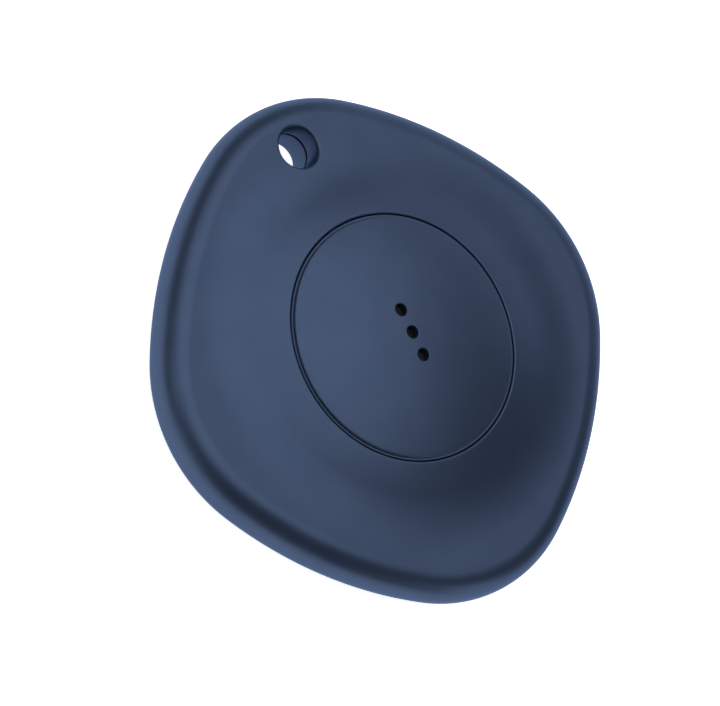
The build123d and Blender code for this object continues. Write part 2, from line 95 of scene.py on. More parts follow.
class TagCaseSizes(bpy.types.PropertyGroup):
    """Sizes of the two shells and the button that their boxes don't give."""

    corner_swell: length("Corner swell", "How much further a corner reaches than a side's middle", 1.55)
    side_radius: length("Side radius", "Bulge of each side, seen from the front", 34.9)
    rim_thickness: length("Rim thickness", "The flange's edge is one full round of this thickness", 4.3)
    rim_flat: length("Rim flat", "Straight band in the middle of the rim's round", 0.1)
    flange_land: length("Flange land", "Flat ring between the rim's round and the dome's foot", 0.15)
    shell_wall: length("Shell wall", "Wall of the mouldings", 1.25)
    seam_drop: length("Seam drop", "How far the seam runs behind the rim's middle", 1.1)
    seam_bevel: length("Seam bevel", "Small bevel either side of the seam", 0.06)
    hole_seam_width: length("Hole seam width", "Groove of the seam in the lanyard hole's wall", 0.26)
    hole_seam_depth: length("Hole seam depth", "Depth of that groove", 0.42)
    rim_wall: length("Rim wall", "Front shell's wall outside the rear shell's lip", 2.8)
    lip_wall: length("Lip wall", "Wall of the rear shell's lip", 0.9)
    lip_fit: length("Lip fit", "Play between the lip and its pocket", 0.06)
    seal_width: length("Seal width", "Width of the seal's channel in the lip", 0.6)
    shoulder_width: length("Shoulder width", "Crown carried on past the button's opening", 2.5)
    flange_clearance: length("Flange clearance", "Room round the button's hidden flange", 0.3)
    flange_roof: length("Flange roof", "Case wall over the button's flange", 1.1)
    hole_diameter: length("Hole diameter", "Bore of the lanyard hole", 3.4)
    hole_flare: length("Hole flare", "Radius of the hole's rounded mouths", 0.25)
    hole_land: length("Hole land", "Flat between the hole's mouth and the rim's round", 0.06)
    hole_boss_wall: length("Hole boss wall", "Wall of the boss round the lanyard hole", 1.2)
    cell_clearance: length("Cell clearance", "Room round the coin cell", 0.25)
    tray_wall: length("Tray wall", "Wall of the coin cell's tray", 0.6)
    moat_gap: length("Moat gap", "From the tray's wall to the moat round it", 0.1)
    notch_width: length("Notch width", "Gap in the tray's wall for the contact", 3.8)
    notch_depth: length("Notch depth", "Depth of the gaps in the tray's wall", 1.6)
    finger_notch: length("Finger notch", "Radius of the gap for lifting the cell out", 3.0)


class TagButtonSizes(bpy.types.PropertyGroup):
    """Sizes of the push button and its sound holes."""

    diameter: length("Diameter", "Button seen from the front", 19.5)
    gap: length("Gap", "Gap all round the button", 0.25)
    edge_round: length("Edge round", "Rounded edge of the button", 0.15)
    ledge_drop: length("Ledge drop", "Narrow ledge round the button, this far under its face", 0.2)
    ledge_gap: length("Ledge gap", "From the ledge to the opening's wall", 0.07)
    opening_round: length("Opening round", "Rounded edge of the button's opening", 0.15)
    flange_height: length("Flange height", "Hidden step that keeps the button in", 0.5)
    skirt_wall: length("Skirt wall", "Wall of the button's skirt", 0.85)
    crown_wall: length("Crown wall", "Wall of the button over the sound chamber", 0.8)
    ledge_width: length("Ledge width", "Seat of the buzzer plate's edge", 0.6)
    fit: length("Fit", "Play round the parts held in the button", 0.05)
    carrier_depth: length(
        "Carrier depth", "From the foot of the buzzer's carrier up to the plate's seat", 0.7
    )
    sound_hole: length("Sound hole", "Bore of each sound hole", 1.0)
    sound_hole_pitch: length("Sound hole pitch", "From one sound hole to the next", 1.94)
    sound_hole_round: length("Sound hole round", "Rounded edge of each sound hole", 0.09)


class TagInsideSizes(bpy.types.PropertyGroup):
    """Sizes of the parts inside that their boxes don't give."""

    screw_ring: length("Screw ring", "From the middle to each of the board's screws", 12.5)
    screw_shank: length("Screw shank", "Radius of a screw's thread", 0.4)
    screw_head: length("Screw head", "Radius of a screw's head", 0.8)
    screw_slot: length("Screw slot", "Width of the cross in a screw's head", 0.25)
    screw_pitch: length("Screw pitch", "From one turn of the thread to the next", 0.22)
    cell_wall: length("Cell wall", "Sheet of the coin cell's cup", 0.25)
    cell_brim: length("Cell brim", "How far the cup's crimped brim reaches in", 0.8)
    cap_wall: length("Cap wall", "Sheet of the coin cell's cap", 0.2)
    via_ring: length("Via ring", "From the middle to the ring of plated holes", 9.3)
    chip_pitch: length("Chip pitch", "From one pad of a chip to the next", 0.5)
    part_pitch: length("Part pitch", "From one small part of a row to the next", 1.5)
    pad_pitch: length("Pad pitch", "From one test pad to the next", 1.4)


class TagStage(bpy.types.PropertyGroup):
    """Camera, lights and floor."""

    azimuth: angle("Azimuth", "Camera's turn about the tag", 182.6)
    elevation: angle("Elevation", "Camera's height over the floor", 56.2)
    roll: angle("Roll", "Camera's turn about its own axis", 61.5)
    distance: length("Distance", "From the camera to the tag's middle", 314)
    lens: share("Lens", "Focal length in millimetres", 200)
    slide_right: length("Slide right", "How far right of the frame's middle the tag stands", 1.7)
    slide_up: length("Slide up", "How far over the frame's middle the tag stands", 0.34)
    floor_half: length("Floor", "Half the side of the floor", 1500)
    floor_edge: length("Floor edge", "Height to which the floor turns up at its edges", 70)
    floor_drop: length("Floor drop", "Floor under the tag's foot, so that the two faces never meet", 0.05)
    floor_glow: share("Floor glow", "Light of the table itself", 0.88)
    room_light: share("Room light", "Even light from all round", 0.03)
    light_distance: length("Light distance", "From the tag to each light", 800)
    light_level: share("Light level", "Share of each light's watts", 1.0)


class TagColours(bpy.types.PropertyGroup):
    """Colours of what shows most."""

    case: hex_colour("Case", "Satin blue of the two shells and the button", "#44536E")
    case_deep: hex_colour("Case, deeper tone", "Second tone in the satin blue", "#41506B")
    floor: hex_colour("Floor", "Pale floor under the tag", "#F2F2F2")


# ================================================================ sizes worked out
def case_sizes():
    """Every size of the case in millimetres, from the frame's boxes and the properties."""
    scene = bpy.context.scene
    s, b, i = (
        SimpleNamespace(**{key: getattr(group, key) / MM for key in type(group).__annotations__})
        for group in (scene.tag_case, scene.tag_button, scene.tag_inside)
    )
    s.button = b
    s.inner = i
    s.corner_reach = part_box("front_shell")[1].x / MM
    s.flat_reach = s.corner_reach - s.corner_swell
    s.side_centre = s.side_radius - s.flat_reach
    shift = s.side_centre / sqrt(2)
    s.corner_radius = ((s.corner_reach + shift) ** 2 + shift**2 - s.side_radius**2) / (
        2 * (s.corner_reach + shift - s.side_radius)
    )
    s.corner_centre = s.corner_reach - s.corner_radius
    s.corner_half = degrees(atan(shift / (s.corner_centre + shift)))

    s.board_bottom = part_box("circuit_board")[0].z / MM
    s.board_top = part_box("circuit_board")[1].z / MM
    s.rim_top = s.board_top + s.shell_wall
    s.rim_bottom = s.rim_top - s.rim_thickness
    s.rim_round = (s.rim_thickness - s.rim_flat) / 2
    s.seam = (s.rim_top + s.rim_bottom) / 2 - s.seam_drop
    s.lip_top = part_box("rear_shell")[1].z / MM
    s.flange_floor = s.rim_bottom + s.shell_wall
    s.seal_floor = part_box("case_seal")[0].z / MM

    s.hole_radius = s.hole_diameter / 2
    s.hole_y = s.corner_reach - s.rim_round - s.hole_land - s.hole_flare - s.hole_radius
    s.boss_radius = s.hole_radius + s.hole_boss_wall

    b.radius = b.diameter / 2
    b.flange_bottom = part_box("button_cap")[0].z / MM
    b.flange_top = b.flange_bottom + b.flange_height
    b.flange_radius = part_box("button_cap")[1].x / MM
    b.mesh_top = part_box("acoustic_mesh")[1].z / MM
    b.mesh_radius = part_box("acoustic_mesh")[1].x / MM
    b.plate_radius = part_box("piezo_plate")[1].x / MM
    b.plate_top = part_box("piezo_plate")[1].z / MM
    b.carrier_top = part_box("piezo_carrier")[0].z / MM + b.carrier_depth
    s.flange_pocket = b.flange_radius + s.flange_clearance
    s.opening_radius = b.radius + b.gap
    s.shoulder_radius = s.opening_radius + s.shoulder_width
    s.dome_foot = s.flat_reach - s.rim_round - s.flange_land
    s.foot_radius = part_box("cell_pad")[1].x / MM
    s.crown_top = b.mesh_top + b.crown_wall
    s.front_slope = 2 * atan((s.crown_top - s.rim_top) / s.dome_foot)
    s.crown_radius = s.shoulder_radius / sin(s.front_slope)
    s.waist_radius = (s.dome_foot - s.shoulder_radius) / sin(s.front_slope)
    s.rear_slope = 2 * atan(s.rim_bottom / (s.dome_foot - s.foot_radius))
    s.bulge_radius = (s.shoulder_radius - s.foot_radius) / sin(s.rear_slope)
    s.rear_waist_radius = (s.dome_foot - s.shoulder_radius) / sin(s.rear_slope)

    s.upper_middle = s.rim_top - s.rim_round
    s.lower_middle = s.rim_bottom + s.rim_round
    s.seam_turn = -degrees(asin((s.lower_middle - s.seam) / s.rim_round))
    s.bevel_turn = degrees(s.seam_bevel / s.rim_round)
    s.seam_inset = s.rim_round - sqrt(s.rim_round**2 - (s.lower_middle - s.seam) ** 2)
    return s


def rim_inset(s, x, y):
    """How far a point near the lanyard hole lies inside the rim's outline."""
    return s.corner_radius - np.hypot(x, y - s.corner_centre)


def round_drop(s, inset):
    """How far the rim's round has fallen away from the flange's plane at this inset."""
    reach = np.clip(s.rim_round - inset, 0, s.rim_round)
    return s.rim_round - np.sqrt(s.rim_round**2 - reach**2)


def crown_height(s, radius):
    """Height of the front dome: a crown carried on over the button, and a waist down to the flange."""
    crown = s.crown_top - s.crown_radius + np.sqrt(
        s.crown_radius**2 - np.minimum(radius, s.shoulder_radius) ** 2
    )
    out = np.clip(s.dome_foot - radius, 0, s.dome_foot - s.shoulder_radius)
    waist = s.rim_top + s.waist_radius - np.sqrt(s.waist_radius**2 - out**2)
    return np.where(radius < s.shoulder_radius, crown, waist)


def front_height(s, x, y):
    """Height of the front shell's outside near the lanyard hole."""
    return crown_height(s, np.hypot(x, y)) - round_drop(s, rim_inset(s, x, y))


def belly_height(s, radius):
    """Height of the rear dome: a flat foot, a bulge and a waist up to the flange."""
    bulge = s.bulge_radius - np.sqrt(
        s.bulge_radius**2 - np.clip(radius - s.foot_radius, 0, s.bulge_radius) ** 2
    )
    out = np.clip(s.dome_foot - radius, 0, s.dome_foot - s.shoulder_radius)
    waist = s.rim_bottom - s.rear_waist_radius + np.sqrt(s.rear_waist_radius**2 - out**2)
    return np.where(radius < s.shoulder_radius, bulge, waist)


def rear_height(s, x, y):
    """Height of the rear shell's outside near the lanyard hole."""
    return belly_height(s, np.hypot(x, y)) + round_drop(s, rim_inset(s, x, y))


# ================================================================ outlines
CORNER_STEPS = 48
SIDE_STEPS = 60
BOSS_STEPS = 56
HOLE_STEPS = 96
SOUND_HOLE_STEPS = 48
MOUTH_STEPS = 7
ROUND_STEPS = 180
BUTTON_STEPS = 240
SCREW_TURNS = (30, 150, 270)


def spoke_turns(s):
    """Directions in degrees that share out the arcs of all four corners and sides."""
    turns = []
    side_sweep = 90 - 2 * s.corner_half
    for quarter in range(4):
        start = 90 * quarter - s.corner_half
        turns += [start + 2 * s.corner_half * k / CORNER_STEPS for k in range(CORNER_STEPS)]
        turns += [start + 2 * s.corner_half + side_sweep * k / SIDE_STEPS for k in range(SIDE_STEPS)]
    return np.array(turns)


def rim_outline(s, inset, turns):
    """Points of the rim's rounded square, drawn in by inset, where it faces each direction."""
    corner = 90 * np.round(turns / 90)
    off = turns - corner
    on_corner = abs(off) <= s.corner_half + 1e-9
    middle = np.radians(np.where(on_corner, corner, corner + 45 * np.sign(off)))
    reach = np.where(on_corner, s.corner_centre, -s.side_centre)
    radius = np.where(on_corner, s.corner_radius, s.side_radius) - inset
    facing = np.radians(turns)
    x = reach * np.cos(middle) + radius * np.cos(facing)
    y = reach * np.sin(middle) + radius * np.sin(facing)
    return np.stack([x, y], 1)


def circle(radius, count, centre=(0, 0)):
    """Evenly spaced points of a circle."""
    turns = 2 * pi * np.arange(count) / count
    return np.stack([centre[0] + radius * np.cos(turns), centre[1] + radius * np.sin(turns)], 1)


def boss_outline(s, inset, boss, added):
    """The rim's outline drawn in by inset, with the lanyard hole's boss added to it or left out of it."""
    arc = s.corner_radius - inset
    apart = s.hole_y - s.corner_centre
    rim_turn = degrees(acos((arc**2 + apart**2 - boss**2) / (2 * arc * apart)))
    boss_turn = acos((boss**2 + apart**2 - arc**2) / (2 * boss * apart))
    first, last = 90 + rim_turn, 450 - rim_turn
    spare = 0.4         # degrees kept free of other corners beside the two where the outlines meet
    turns = spoke_turns(s)
    turns = np.where(turns < 90, turns + 360, turns)
    kept = np.sort(turns[(turns > first + spare) & (turns < last - spare)])
    kept = np.concatenate([[first], kept, [last]])
    start, end = -pi / 2 + boss_turn, -pi / 2 - boss_turn + (2 * pi if added else 0)
    bend = start + (end - start) * np.arange(1, BOSS_STEPS) / BOSS_STEPS
    arc_points = np.stack([boss * np.cos(bend), s.hole_y + boss * np.sin(bend)], 1)
    return np.concatenate([rim_outline(s, inset, np.where(kept > 360, kept - 360, kept)), arc_points])


# ================================================================ closed skins
class Skin:
    """A closed skin sewn up ring by ring, in millimetres."""

    def __init__(self):
        self.bm = bmesh.new()

    def ring(self, points, heights):
        """New corners over the points, at one height or one for each."""
        heights = np.broadcast_to(heights, len(points))
        return [self.bm.verts.new((x, y, z)) for (x, y), z in zip(points, heights)]

    def band(self, first, second, skip=()):
        """Four-sided faces between two rings of equal count."""
        count = len(first)
        for k in range(count):
            if k not in skip:
                m = (k + 1) % count
                self.bm.faces.new((first[k], first[m], second[m], second[k]))

    def bands(self, rings):
        """Faces between each ring and the next."""
        for first, second in zip(rings, rings[1:]):
            self.band(first, second)

    def sheet(self, outer, inners=()):
        """Fills the room between an outer ring and any inner ones, which all keep their corners."""
        rings = [outer, *inners]
        corners = [v for ring in rings for v in ring]
        edges, start = [], 0
        for ring in rings:
            edges += [(start + k, start + (k + 1) % len(ring)) for k in range(len(ring))]
            start += len(ring)
        flat = [Vector((v.co.x, v.co.y)) for v in corners]
        points, _, triangles, origin, _, _ = delaunay_2d_cdt(flat, edges, [], 1, 1e-6)
        loops = [np.array([(v.co.x, v.co.y) for v in ring]) for ring in inners]
        for triangle in triangles:
            middle = sum((points[k] for k in triangle), Vector((0, 0))) / 3
            if not any(inside(loop, middle) for loop in loops):
                self.bm.faces.new([corners[origin[k][0]] for k in triangle])

    def mesh(self, name):
        """The finished mesh in metres, closed and facing outwards."""
        bmesh.ops.recalc_face_normals(self.bm, faces=self.bm.faces[:])
        bmesh.ops.scale(self.bm, vec=(MM, MM, MM), verts=self.bm.verts[:])
        open_edges = [e for e in self.bm.edges if len(e.link_faces) != 2]
        if open_edges:
            raise RuntimeError(
                f"{name} isn't closed: {len(open_edges)} edges, first near {open_edges[0].verts[0].co}"
            )
        mesh = bpy.data.meshes.new(name)
        self.bm.to_mesh(mesh)
        self.bm.free()
        return smoothed(mesh)


def smoothed(mesh):
    """Shades a mesh smooth but for its real edges, and gives it back."""
    mesh.shade_smooth()
    mesh.set_sharp_from_angle(angle=radians(32))
    return mesh


def inside(loop, point):
    """True for a point inside a closed loop of points."""
    x, y = loop[:, 0], loop[:, 1]
    next_x, next_y = np.roll(x, -1), np.roll(y, -1)
    crosses = (y > point[1]) != (next_y > point[1])
    with np.errstate(divide="ignore", invalid="ignore"):
        at = x + (point[1] - y) / (next_y - y) * (next_x - x)
    return bool(np.count_nonzero(crosses & (point[0] < at)) % 2)


def arc_steps(count):
    """Even fractions from 0 to 1."""
    return np.arange(count + 1) / count


def mouth_round(wall, bend, height, up):
    """A mouth's rounded edge as (radius, height) pairs, from the wall out to the surface.

    height gives the surface over a radius, and up is 1 where the surface faces up and -1 where it faces down.
    """
    probe = 0.01
    slope = atan((height(wall + bend + probe) - height(wall + bend - probe)) / (2 * probe)) * up
    middle = height(wall + bend) - up * bend / cos(slope)
    pairs = []
    for step in arc_steps(MOUTH_STEPS):
        turn = pi + step * (pi / 2 + slope - pi)
        pairs.append((wall + bend + bend * cos(turn), middle + up * bend * sin(turn)))
    return pairs


def mouth_rings(skin, centre, wall, bend, collar, height, up, count):
    """Rings of a hole's rounded mouth, from its straight wall to the collar's rings out on the surface.

    height gives the surface over x and y, and the rest is as mouth_round takes it.
    """
    sections = []
    for turn in 2 * pi * np.arange(count) / count:
        x_way, y_way = cos(turn), sin(turn)

        def over(radius):
            return float(height(centre[0] + radius * x_way, centre[1] + radius * y_way))

        pairs = mouth_round(wall, bend, over, up)
        land = pairs[-1][0]
        pairs += [(land + extra, over(land + extra)) for extra in collar]
        sections.append([(centre[0] + radius * x_way, centre[1] + radius * y_way, z) for radius, z in pairs])
    return [skin.ring([p[:2] for p in ring], [p[2] for p in ring]) for ring in zip(*sections)]


def lanyard_mouth(skin, s, height, up):
    """Rings of the lanyard hole's mouth in the surface that height gives."""
    over = partial(height, s)
    return mouth_rings(skin, (0, s.hole_y), s.hole_radius, s.hole_flare, (0.04, 0.1), over, up, HOLE_STEPS)


def hole_seam(skin, s, wall, half):
    """Carries the hole's wall on to the seam's groove, half its width away, and gives its innermost ring."""
    centre = (0, s.hole_y)
    end = skin.ring(circle(s.hole_radius, HOLE_STEPS, centre), s.lip_top + half)
    step = skin.ring(circle(s.hole_radius + s.hole_seam_depth, HOLE_STEPS, centre), s.lip_top + half)
    last = skin.ring(circle(s.hole_radius + s.hole_seam_depth, HOLE_STEPS, centre), s.lip_top)
    skin.bands([wall, end, step, last])
    return last


def outside(skin, s, rings, heights, hole_rings):
    """Sews the rings into one surface and works the lanyard hole's outermost ring into it.

    rings holds the flat points of each ring and heights their heights.
    """
    spare = s.hole_radius + s.hole_flare + 0.16
    loops = [skin.ring(points, z) for points, z in zip(rings, heights)]
    over_hole = [np.hypot(points[:, 0], points[:, 1] - s.hole_y) < spare for points in rings]
    left_out = {}
    for row, (first, second) in enumerate(zip(loops, loops[1:])):
        near = over_hole[row] | over_hole[row + 1]
        near |= np.roll(near, -1)
        skipped = set(np.flatnonzero(near))
        skin.band(first, second, skipped)
        for k in skipped:
            m = (k + 1) % len(first)
            square = (first[k], first[m], second[m], second[k])
            for side in zip(square, square[1:] + square[:1]):
                if not left_out.pop(side[::-1], False):
                    left_out[side] = True
    # Sides that two left-out squares share have gone: the rest run on from each other round the gap's edge.
    after = dict(left_out.keys())
    edge = [next(iter(after))]
    while after[edge[-1]] is not edge[0]:
        edge.append(after[edge[-1]])
    skin.sheet(edge, [hole_rings[-1]])
    skin.bands(hole_rings)
    for lone in [v for v in skin.bm.verts if not v.link_faces]:
        skin.bm.verts.remove(lone)
    return loops


def rim_rings(s, spokes, first_turn, last_turn, count, middle):
    """Points and heights of rings over the rim's round, between two turns in degrees up from its side."""
    rings, heights = [], []
    for step in arc_steps(count):
        turn = radians(first_turn + step * (last_turn - first_turn))
        rings.append(rim_outline(s, s.rim_round * (1 - cos(turn)), spokes))
        heights.append(middle + s.rim_round * sin(turn))
    return rings, heights


def dome_rings(s, spokes, polar, radii, height):
    """Circles at the radii, then rings that pass over into the rim's outline."""
    rings = [np.stack([r * np.cos(polar), r * np.sin(polar)], 1) for r in radii]
    heights = [float(height(s, r)) for r in radii]
    land = rim_outline(s, s.rim_round, spokes)
    for part in (0.35, 0.7):
        rings.append(rings[len(radii) - 1] * (1 - part) + land * part)
        heights.append(heights[len(radii) - 1])
    return rings, heights


def front_shell_mesh(s):
    """The front shell: dome, button opening, rim and lanyard hole, and its hollow inside."""
    skin = Skin()
    spokes = spoke_turns(s)
    land = rim_outline(s, s.rim_round, spokes)
    polar = np.arctan2(land[:, 1], land[:, 0])
    edge = mouth_round(s.opening_radius, s.button.opening_round, lambda r: float(crown_height(s, r)), 1)
    crown = np.linspace(edge[-1][0], s.shoulder_radius, 12)[1:]
    waist = np.linspace(s.shoulder_radius, s.dome_foot, 22)[1:]
    rings, heights = dome_rings(s, spokes, polar, np.concatenate([crown, waist]), crown_height)
    edge_rings = [np.stack([r * np.cos(polar), r * np.sin(polar)], 1) for r, _ in edge]
    upper, upper_heights = rim_rings(s, spokes, 90, 0, 30, s.upper_middle)
    lower, lower_heights = rim_rings(s, spokes, 0, s.seam_turn + s.bevel_turn, 9, s.lower_middle)
    bottom = rim_outline(s, s.seam_inset + s.seam_bevel, spokes)
    all_rings = edge_rings + rings + upper + lower + [bottom]
    all_heights = [z for _, z in edge] + heights + upper_heights + lower_heights + [s.seam]
    hole = lanyard_mouth(skin, s, front_height, 1)
    loops = outside(skin, s, all_rings, all_heights, hole)
    hole_foot = hole_seam(skin, s, hole[0], s.hole_seam_width / 2)

    pocket = boss_outline(s, s.rim_wall - s.lip_fit, s.boss_radius + s.lip_fit, True)
    cavity = boss_outline(s, s.rim_wall + s.lip_wall, s.boss_radius, False)
    pocket_low, pocket_high = skin.ring(pocket, s.seam), skin.ring(pocket, s.lip_top)
    cavity_low, cavity_high = skin.ring(cavity, s.lip_top), skin.ring(cavity, s.board_top)
    skin.sheet(loops[-1], [pocket_low])
    skin.band(pocket_low, pocket_high)
    skin.sheet(pocket_high, [cavity_low, hole_foot])
    skin.band(cavity_low, cavity_high)
    flange = circle(s.flange_pocket, ROUND_STEPS)
    flange_low, flange_high = skin.ring(flange, s.board_top), skin.ring(flange, s.button.flange_top)
    screw_mouths = []
    for turn in np.radians(SCREW_TURNS):
        place = (s.inner.screw_ring * cos(turn), s.inner.screw_ring * sin(turn))
        bore = circle(s.inner.screw_shank, 24, place)
        mouth, floor = skin.ring(bore, s.board_top), skin.ring(bore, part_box("board_screws")[1].z / MM)
        skin.band(mouth, floor)
        skin.bm.faces.new(floor)
        screw_mouths.append(mouth)
    skin.sheet(cavity_high, [flange_low, *screw_mouths])
    skin.band(flange_low, flange_high)
    opening = skin.ring(edge_rings[0], s.button.flange_top)
    skin.sheet(flange_high, [opening])
    skin.band(opening, loops[0])
    return skin.mesh("front_case_shell")


def rear_shell_mesh(s):
    """The rear shell: foot, dome, rim and lanyard hole, and the lip, tray and moat inside."""
    skin = Skin()
    spokes = spoke_turns(s)
    land = rim_outline(s, s.rim_round, spokes)
    polar = np.arctan2(land[:, 1], land[:, 0])
    radii = np.concatenate([
        np.linspace(s.foot_radius, s.shoulder_radius, 20),
        np.linspace(s.shoulder_radius, s.dome_foot, 24)[1:],
    ])
    rings, heights = dome_rings(s, spokes, polar, radii, belly_height)
    side, side_heights = rim_rings(s, spokes, -90, s.seam_turn - s.bevel_turn, 24, s.lower_middle)
    top = rim_outline(s, s.seam_inset + s.seam_bevel, spokes)
    hole = lanyard_mouth(skin, s, rear_height, -1)
    loops = outside(skin, s, rings + side + [top], heights + side_heights + [s.seam], hole)
    skin.bm.faces.new(loops[0])
    hole_head = hole_seam(skin, s, hole[0], -s.hole_seam_width / 2)

    lip = boss_outline(s, s.rim_wall, s.boss_radius, True)
    channel = boss_outline(s, s.rim_wall + s.lip_wall - s.seal_width, s.boss_radius - s.seal_width, False)
    cavity = boss_outline(s, s.rim_wall + s.lip_wall, s.boss_radius, False)
    lip_low, lip_high = skin.ring(lip, s.seam), skin.ring(lip, s.lip_top)
    channel_high, channel_low = skin.ring(channel, s.lip_top), skin.ring(channel, s.seal_floor)
    cavity_high, cavity_low = skin.ring(cavity, s.seal_floor), skin.ring(cavity, s.flange_floor)
    skin.sheet(loops[-1], [lip_low])
    skin.band(lip_low, lip_high)
    skin.sheet(lip_high, [channel_high, hole_head])
    skin.band(channel_high, channel_low)
    skin.sheet(channel_low, [cavity_high])
    skin.band(cavity_high, cavity_low)

    rear_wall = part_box("cell_pad")[0].z / MM
    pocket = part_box("cell_can")[1].x / MM + s.cell_clearance
    tray = pocket + s.tray_wall
    moat = tray + s.moat_gap
    broken = 0.05       # the tray's outer edge, broken
    lead_in = 0.1       # its inner edge, broken wider so that the cell drops in
    moat_edge = s.hole_y - s.boss_radius - lead_in
    moat_outer = (s.shoulder_radius + s.dome_foot) / 2
    moat_floor = rear_wall + s.shell_wall / 2
    bank = moat_floor + (moat_edge - moat) / (moat_outer - moat) * (s.flange_floor - moat_floor)
    outline = [
        (moat_edge, s.flange_floor),
        (moat_edge, bank),
        (moat, moat_floor),
        (moat, s.flange_floor - broken),
        (moat - broken, s.flange_floor),
        (pocket + lead_in, s.flange_floor),
        (pocket, s.flange_floor - lead_in),
        (pocket, rear_wall),
    ]
    inner = [skin.ring(circle(radius, ROUND_STEPS), height) for radius, height in outline]
    skin.sheet(cavity_low, [inner[0]])
    skin.bands(inner)
    skin.bm.faces.new(inner[-1])
    return skin.mesh("rear_case_shell")


def button_mesh(s):
    """The push button: crown with its sound holes, skirt, hidden flange and sound chamber."""
    b = s.button
    skin = Skin()
    broken = 0.05       # edges of the flange
    ledge_bevel = 0.03
    probe = 0.01

    def crown(radius):
        return float(crown_height(s, radius))

    chamber = b.plate_radius - b.ledge_width
    seat = b.plate_radius + b.fit
    skirt = b.radius - b.skirt_wall
    inner_disc = (b.mesh_radius + b.fit) * 1.15         # the face inside this ring is filled round the holes
    ledge = s.opening_radius - b.ledge_gap
    ledge_top = crown(b.radius) - b.ledge_drop
    edge = []
    bend = b.radius - b.edge_round
    tilt = atan((crown(bend) - crown(bend + probe)) / probe)
    lowered = crown(bend) - b.edge_round / cos(tilt)
    for step in arc_steps(8):
        turn = step * (pi / 2 - tilt)
        edge.append((b.radius - b.edge_round * (1 - cos(turn)), lowered + b.edge_round * sin(turn)))
    outline = [
        (b.mesh_radius + b.fit, b.mesh_top),
        (chamber, crown(chamber) - b.crown_wall),
        (chamber, b.plate_top),
        (seat, b.plate_top),
        (seat, b.carrier_top),
        (skirt, b.carrier_top),
        (skirt, b.flange_bottom),
        (b.flange_radius - broken, b.flange_bottom),
        (b.flange_radius, b.flange_bottom + broken),
        (b.flange_radius, b.flange_top - broken),
        (b.flange_radius - broken, b.flange_top),
        (ledge, b.flange_top),
        (ledge, ledge_top - ledge_bevel),
        (ledge - ledge_bevel, ledge_top),
        (b.radius, ledge_top),
    ]
    outline += edge
    outline += [(radius, crown(radius)) for radius in np.linspace(edge[-1][0], inner_disc, 30)[1:]]
    rings = [skin.ring(circle(radius, BUTTON_STEPS), height) for radius, height in outline]
    skin.bands(rings)

    def face(x, y):
        return crown(hypot(x, y))

    bore = b.sound_hole / 2
    mouths, feet = [], []
    for k in (-1, 0, 1):
        centre = (0, k * b.sound_hole_pitch)
        hole = mouth_rings(skin, centre, bore, b.sound_hole_round, (0.03,), face, 1, SOUND_HOLE_STEPS)
        foot = skin.ring(circle(bore, SOUND_HOLE_STEPS, centre), b.mesh_top)
        skin.bands([foot, *hole])
        mouths.append(hole[-1])
        feet.append(foot)
    skin.sheet(rings[-1], mouths)
    skin.sheet(rings[0], feet)
    return skin.mesh("button_moulding")


# ================================================================ materials
def linear(colour):
    """An sRGB hex colour in the linear values that shaders take."""
    channels = [int(colour[k : k + 2], 16) / 255 for k in (1, 3, 5)]
    return (*(c / 12.92 if c <= 0.04045 else ((c + 0.055) / 1.055) ** 2.4 for c in channels), 1)


def add_node(tree, kind, inputs=None, **settings):
    """Adds a node: settings are its own fields, and inputs are values or the sockets linked to them."""
    node = tree.nodes.new(kind)
    for key, value in settings.items():
        setattr(node, key, value)
    for key, value in (inputs or {}).items():
        if isinstance(value, bpy.types.NodeSocket):
            tree.links.new(value, node.inputs[key])
        else:
            node.inputs[key].default_value = value
    return node


def noise(tree, place, size_mm, stretch=(1, 1, 1)):
    """Noise whose lumps are about this size, drawn out along an axis where stretch is under 1."""
    if stretch != (1, 1, 1):
        place = add_node(tree, "ShaderNodeMapping", {"Vector": place, "Scale": stretch}).outputs["Vector"]
    lumps = add_node(
        tree, "ShaderNodeTexNoise", {"Vector": place, "Scale": 1 / (size_mm * MM), "Detail": 2.0}
    )
    return lumps.outputs["Fac"]


def between(tree, value, low, high):
    """Carries noise over to the room between two values."""
    ends = {"Value": value, "From Min": 0.3, "From Max": 0.7, "To Min": low, "To Max": high}
    return add_node(tree, "ShaderNodeMapRange", ends).outputs["Result"]


def two_tone(tree, value, first, second):
    """Mixes two sRGB colours by a value from 0 to 1."""
    mix = tree.nodes.new("ShaderNodeMix")
    mix.data_type = "RGBA"
    tree.links.new(value, mix.inputs[0])
    mix.inputs[6].default_value = linear(first)
    mix.inputs[7].default_value = linear(second)
    return mix.outputs[2]


def surface(name, tones, tone_mm, grain_mm, depth_mm, roughness, stretch=(1, 1, 1), relief=None, **shader):
    """A material of two close tones in soft patches, with a fine grain in its relief and its gloss.

    roughness is its two ends, relief another pattern to take as the grain, and shader its other constants.
    """
    made = bpy.data.materials.new(name)
    made.use_nodes = True
    tree = made.node_tree
    tree.nodes.clear()
    place = add_node(tree, "ShaderNodeTexCoord").outputs["Object"]
    patches = noise(tree, place, tone_mm, stretch)
    height = relief(tree, place) if relief else noise(tree, place, grain_mm, stretch)
    bump = add_node(tree, "ShaderNodeBump", {"Height": height, "Strength": 1.0, "Distance": depth_mm * MM})
    colour = two_tone(tree, between(tree, patches, 0, 1), *tones)
    gloss = between(tree, height, *roughness)
    inputs = {"Base Color": colour, "Roughness": gloss, "Normal": bump.outputs["Normal"]}
    inputs.update({key.replace("_", " "): value for key, value in shader.items()})
    principled = add_node(tree, "ShaderNodeBsdfPrincipled", inputs)
    add_node(tree, "ShaderNodeOutputMaterial", {"Surface": principled.outputs["BSDF"]})
    return made


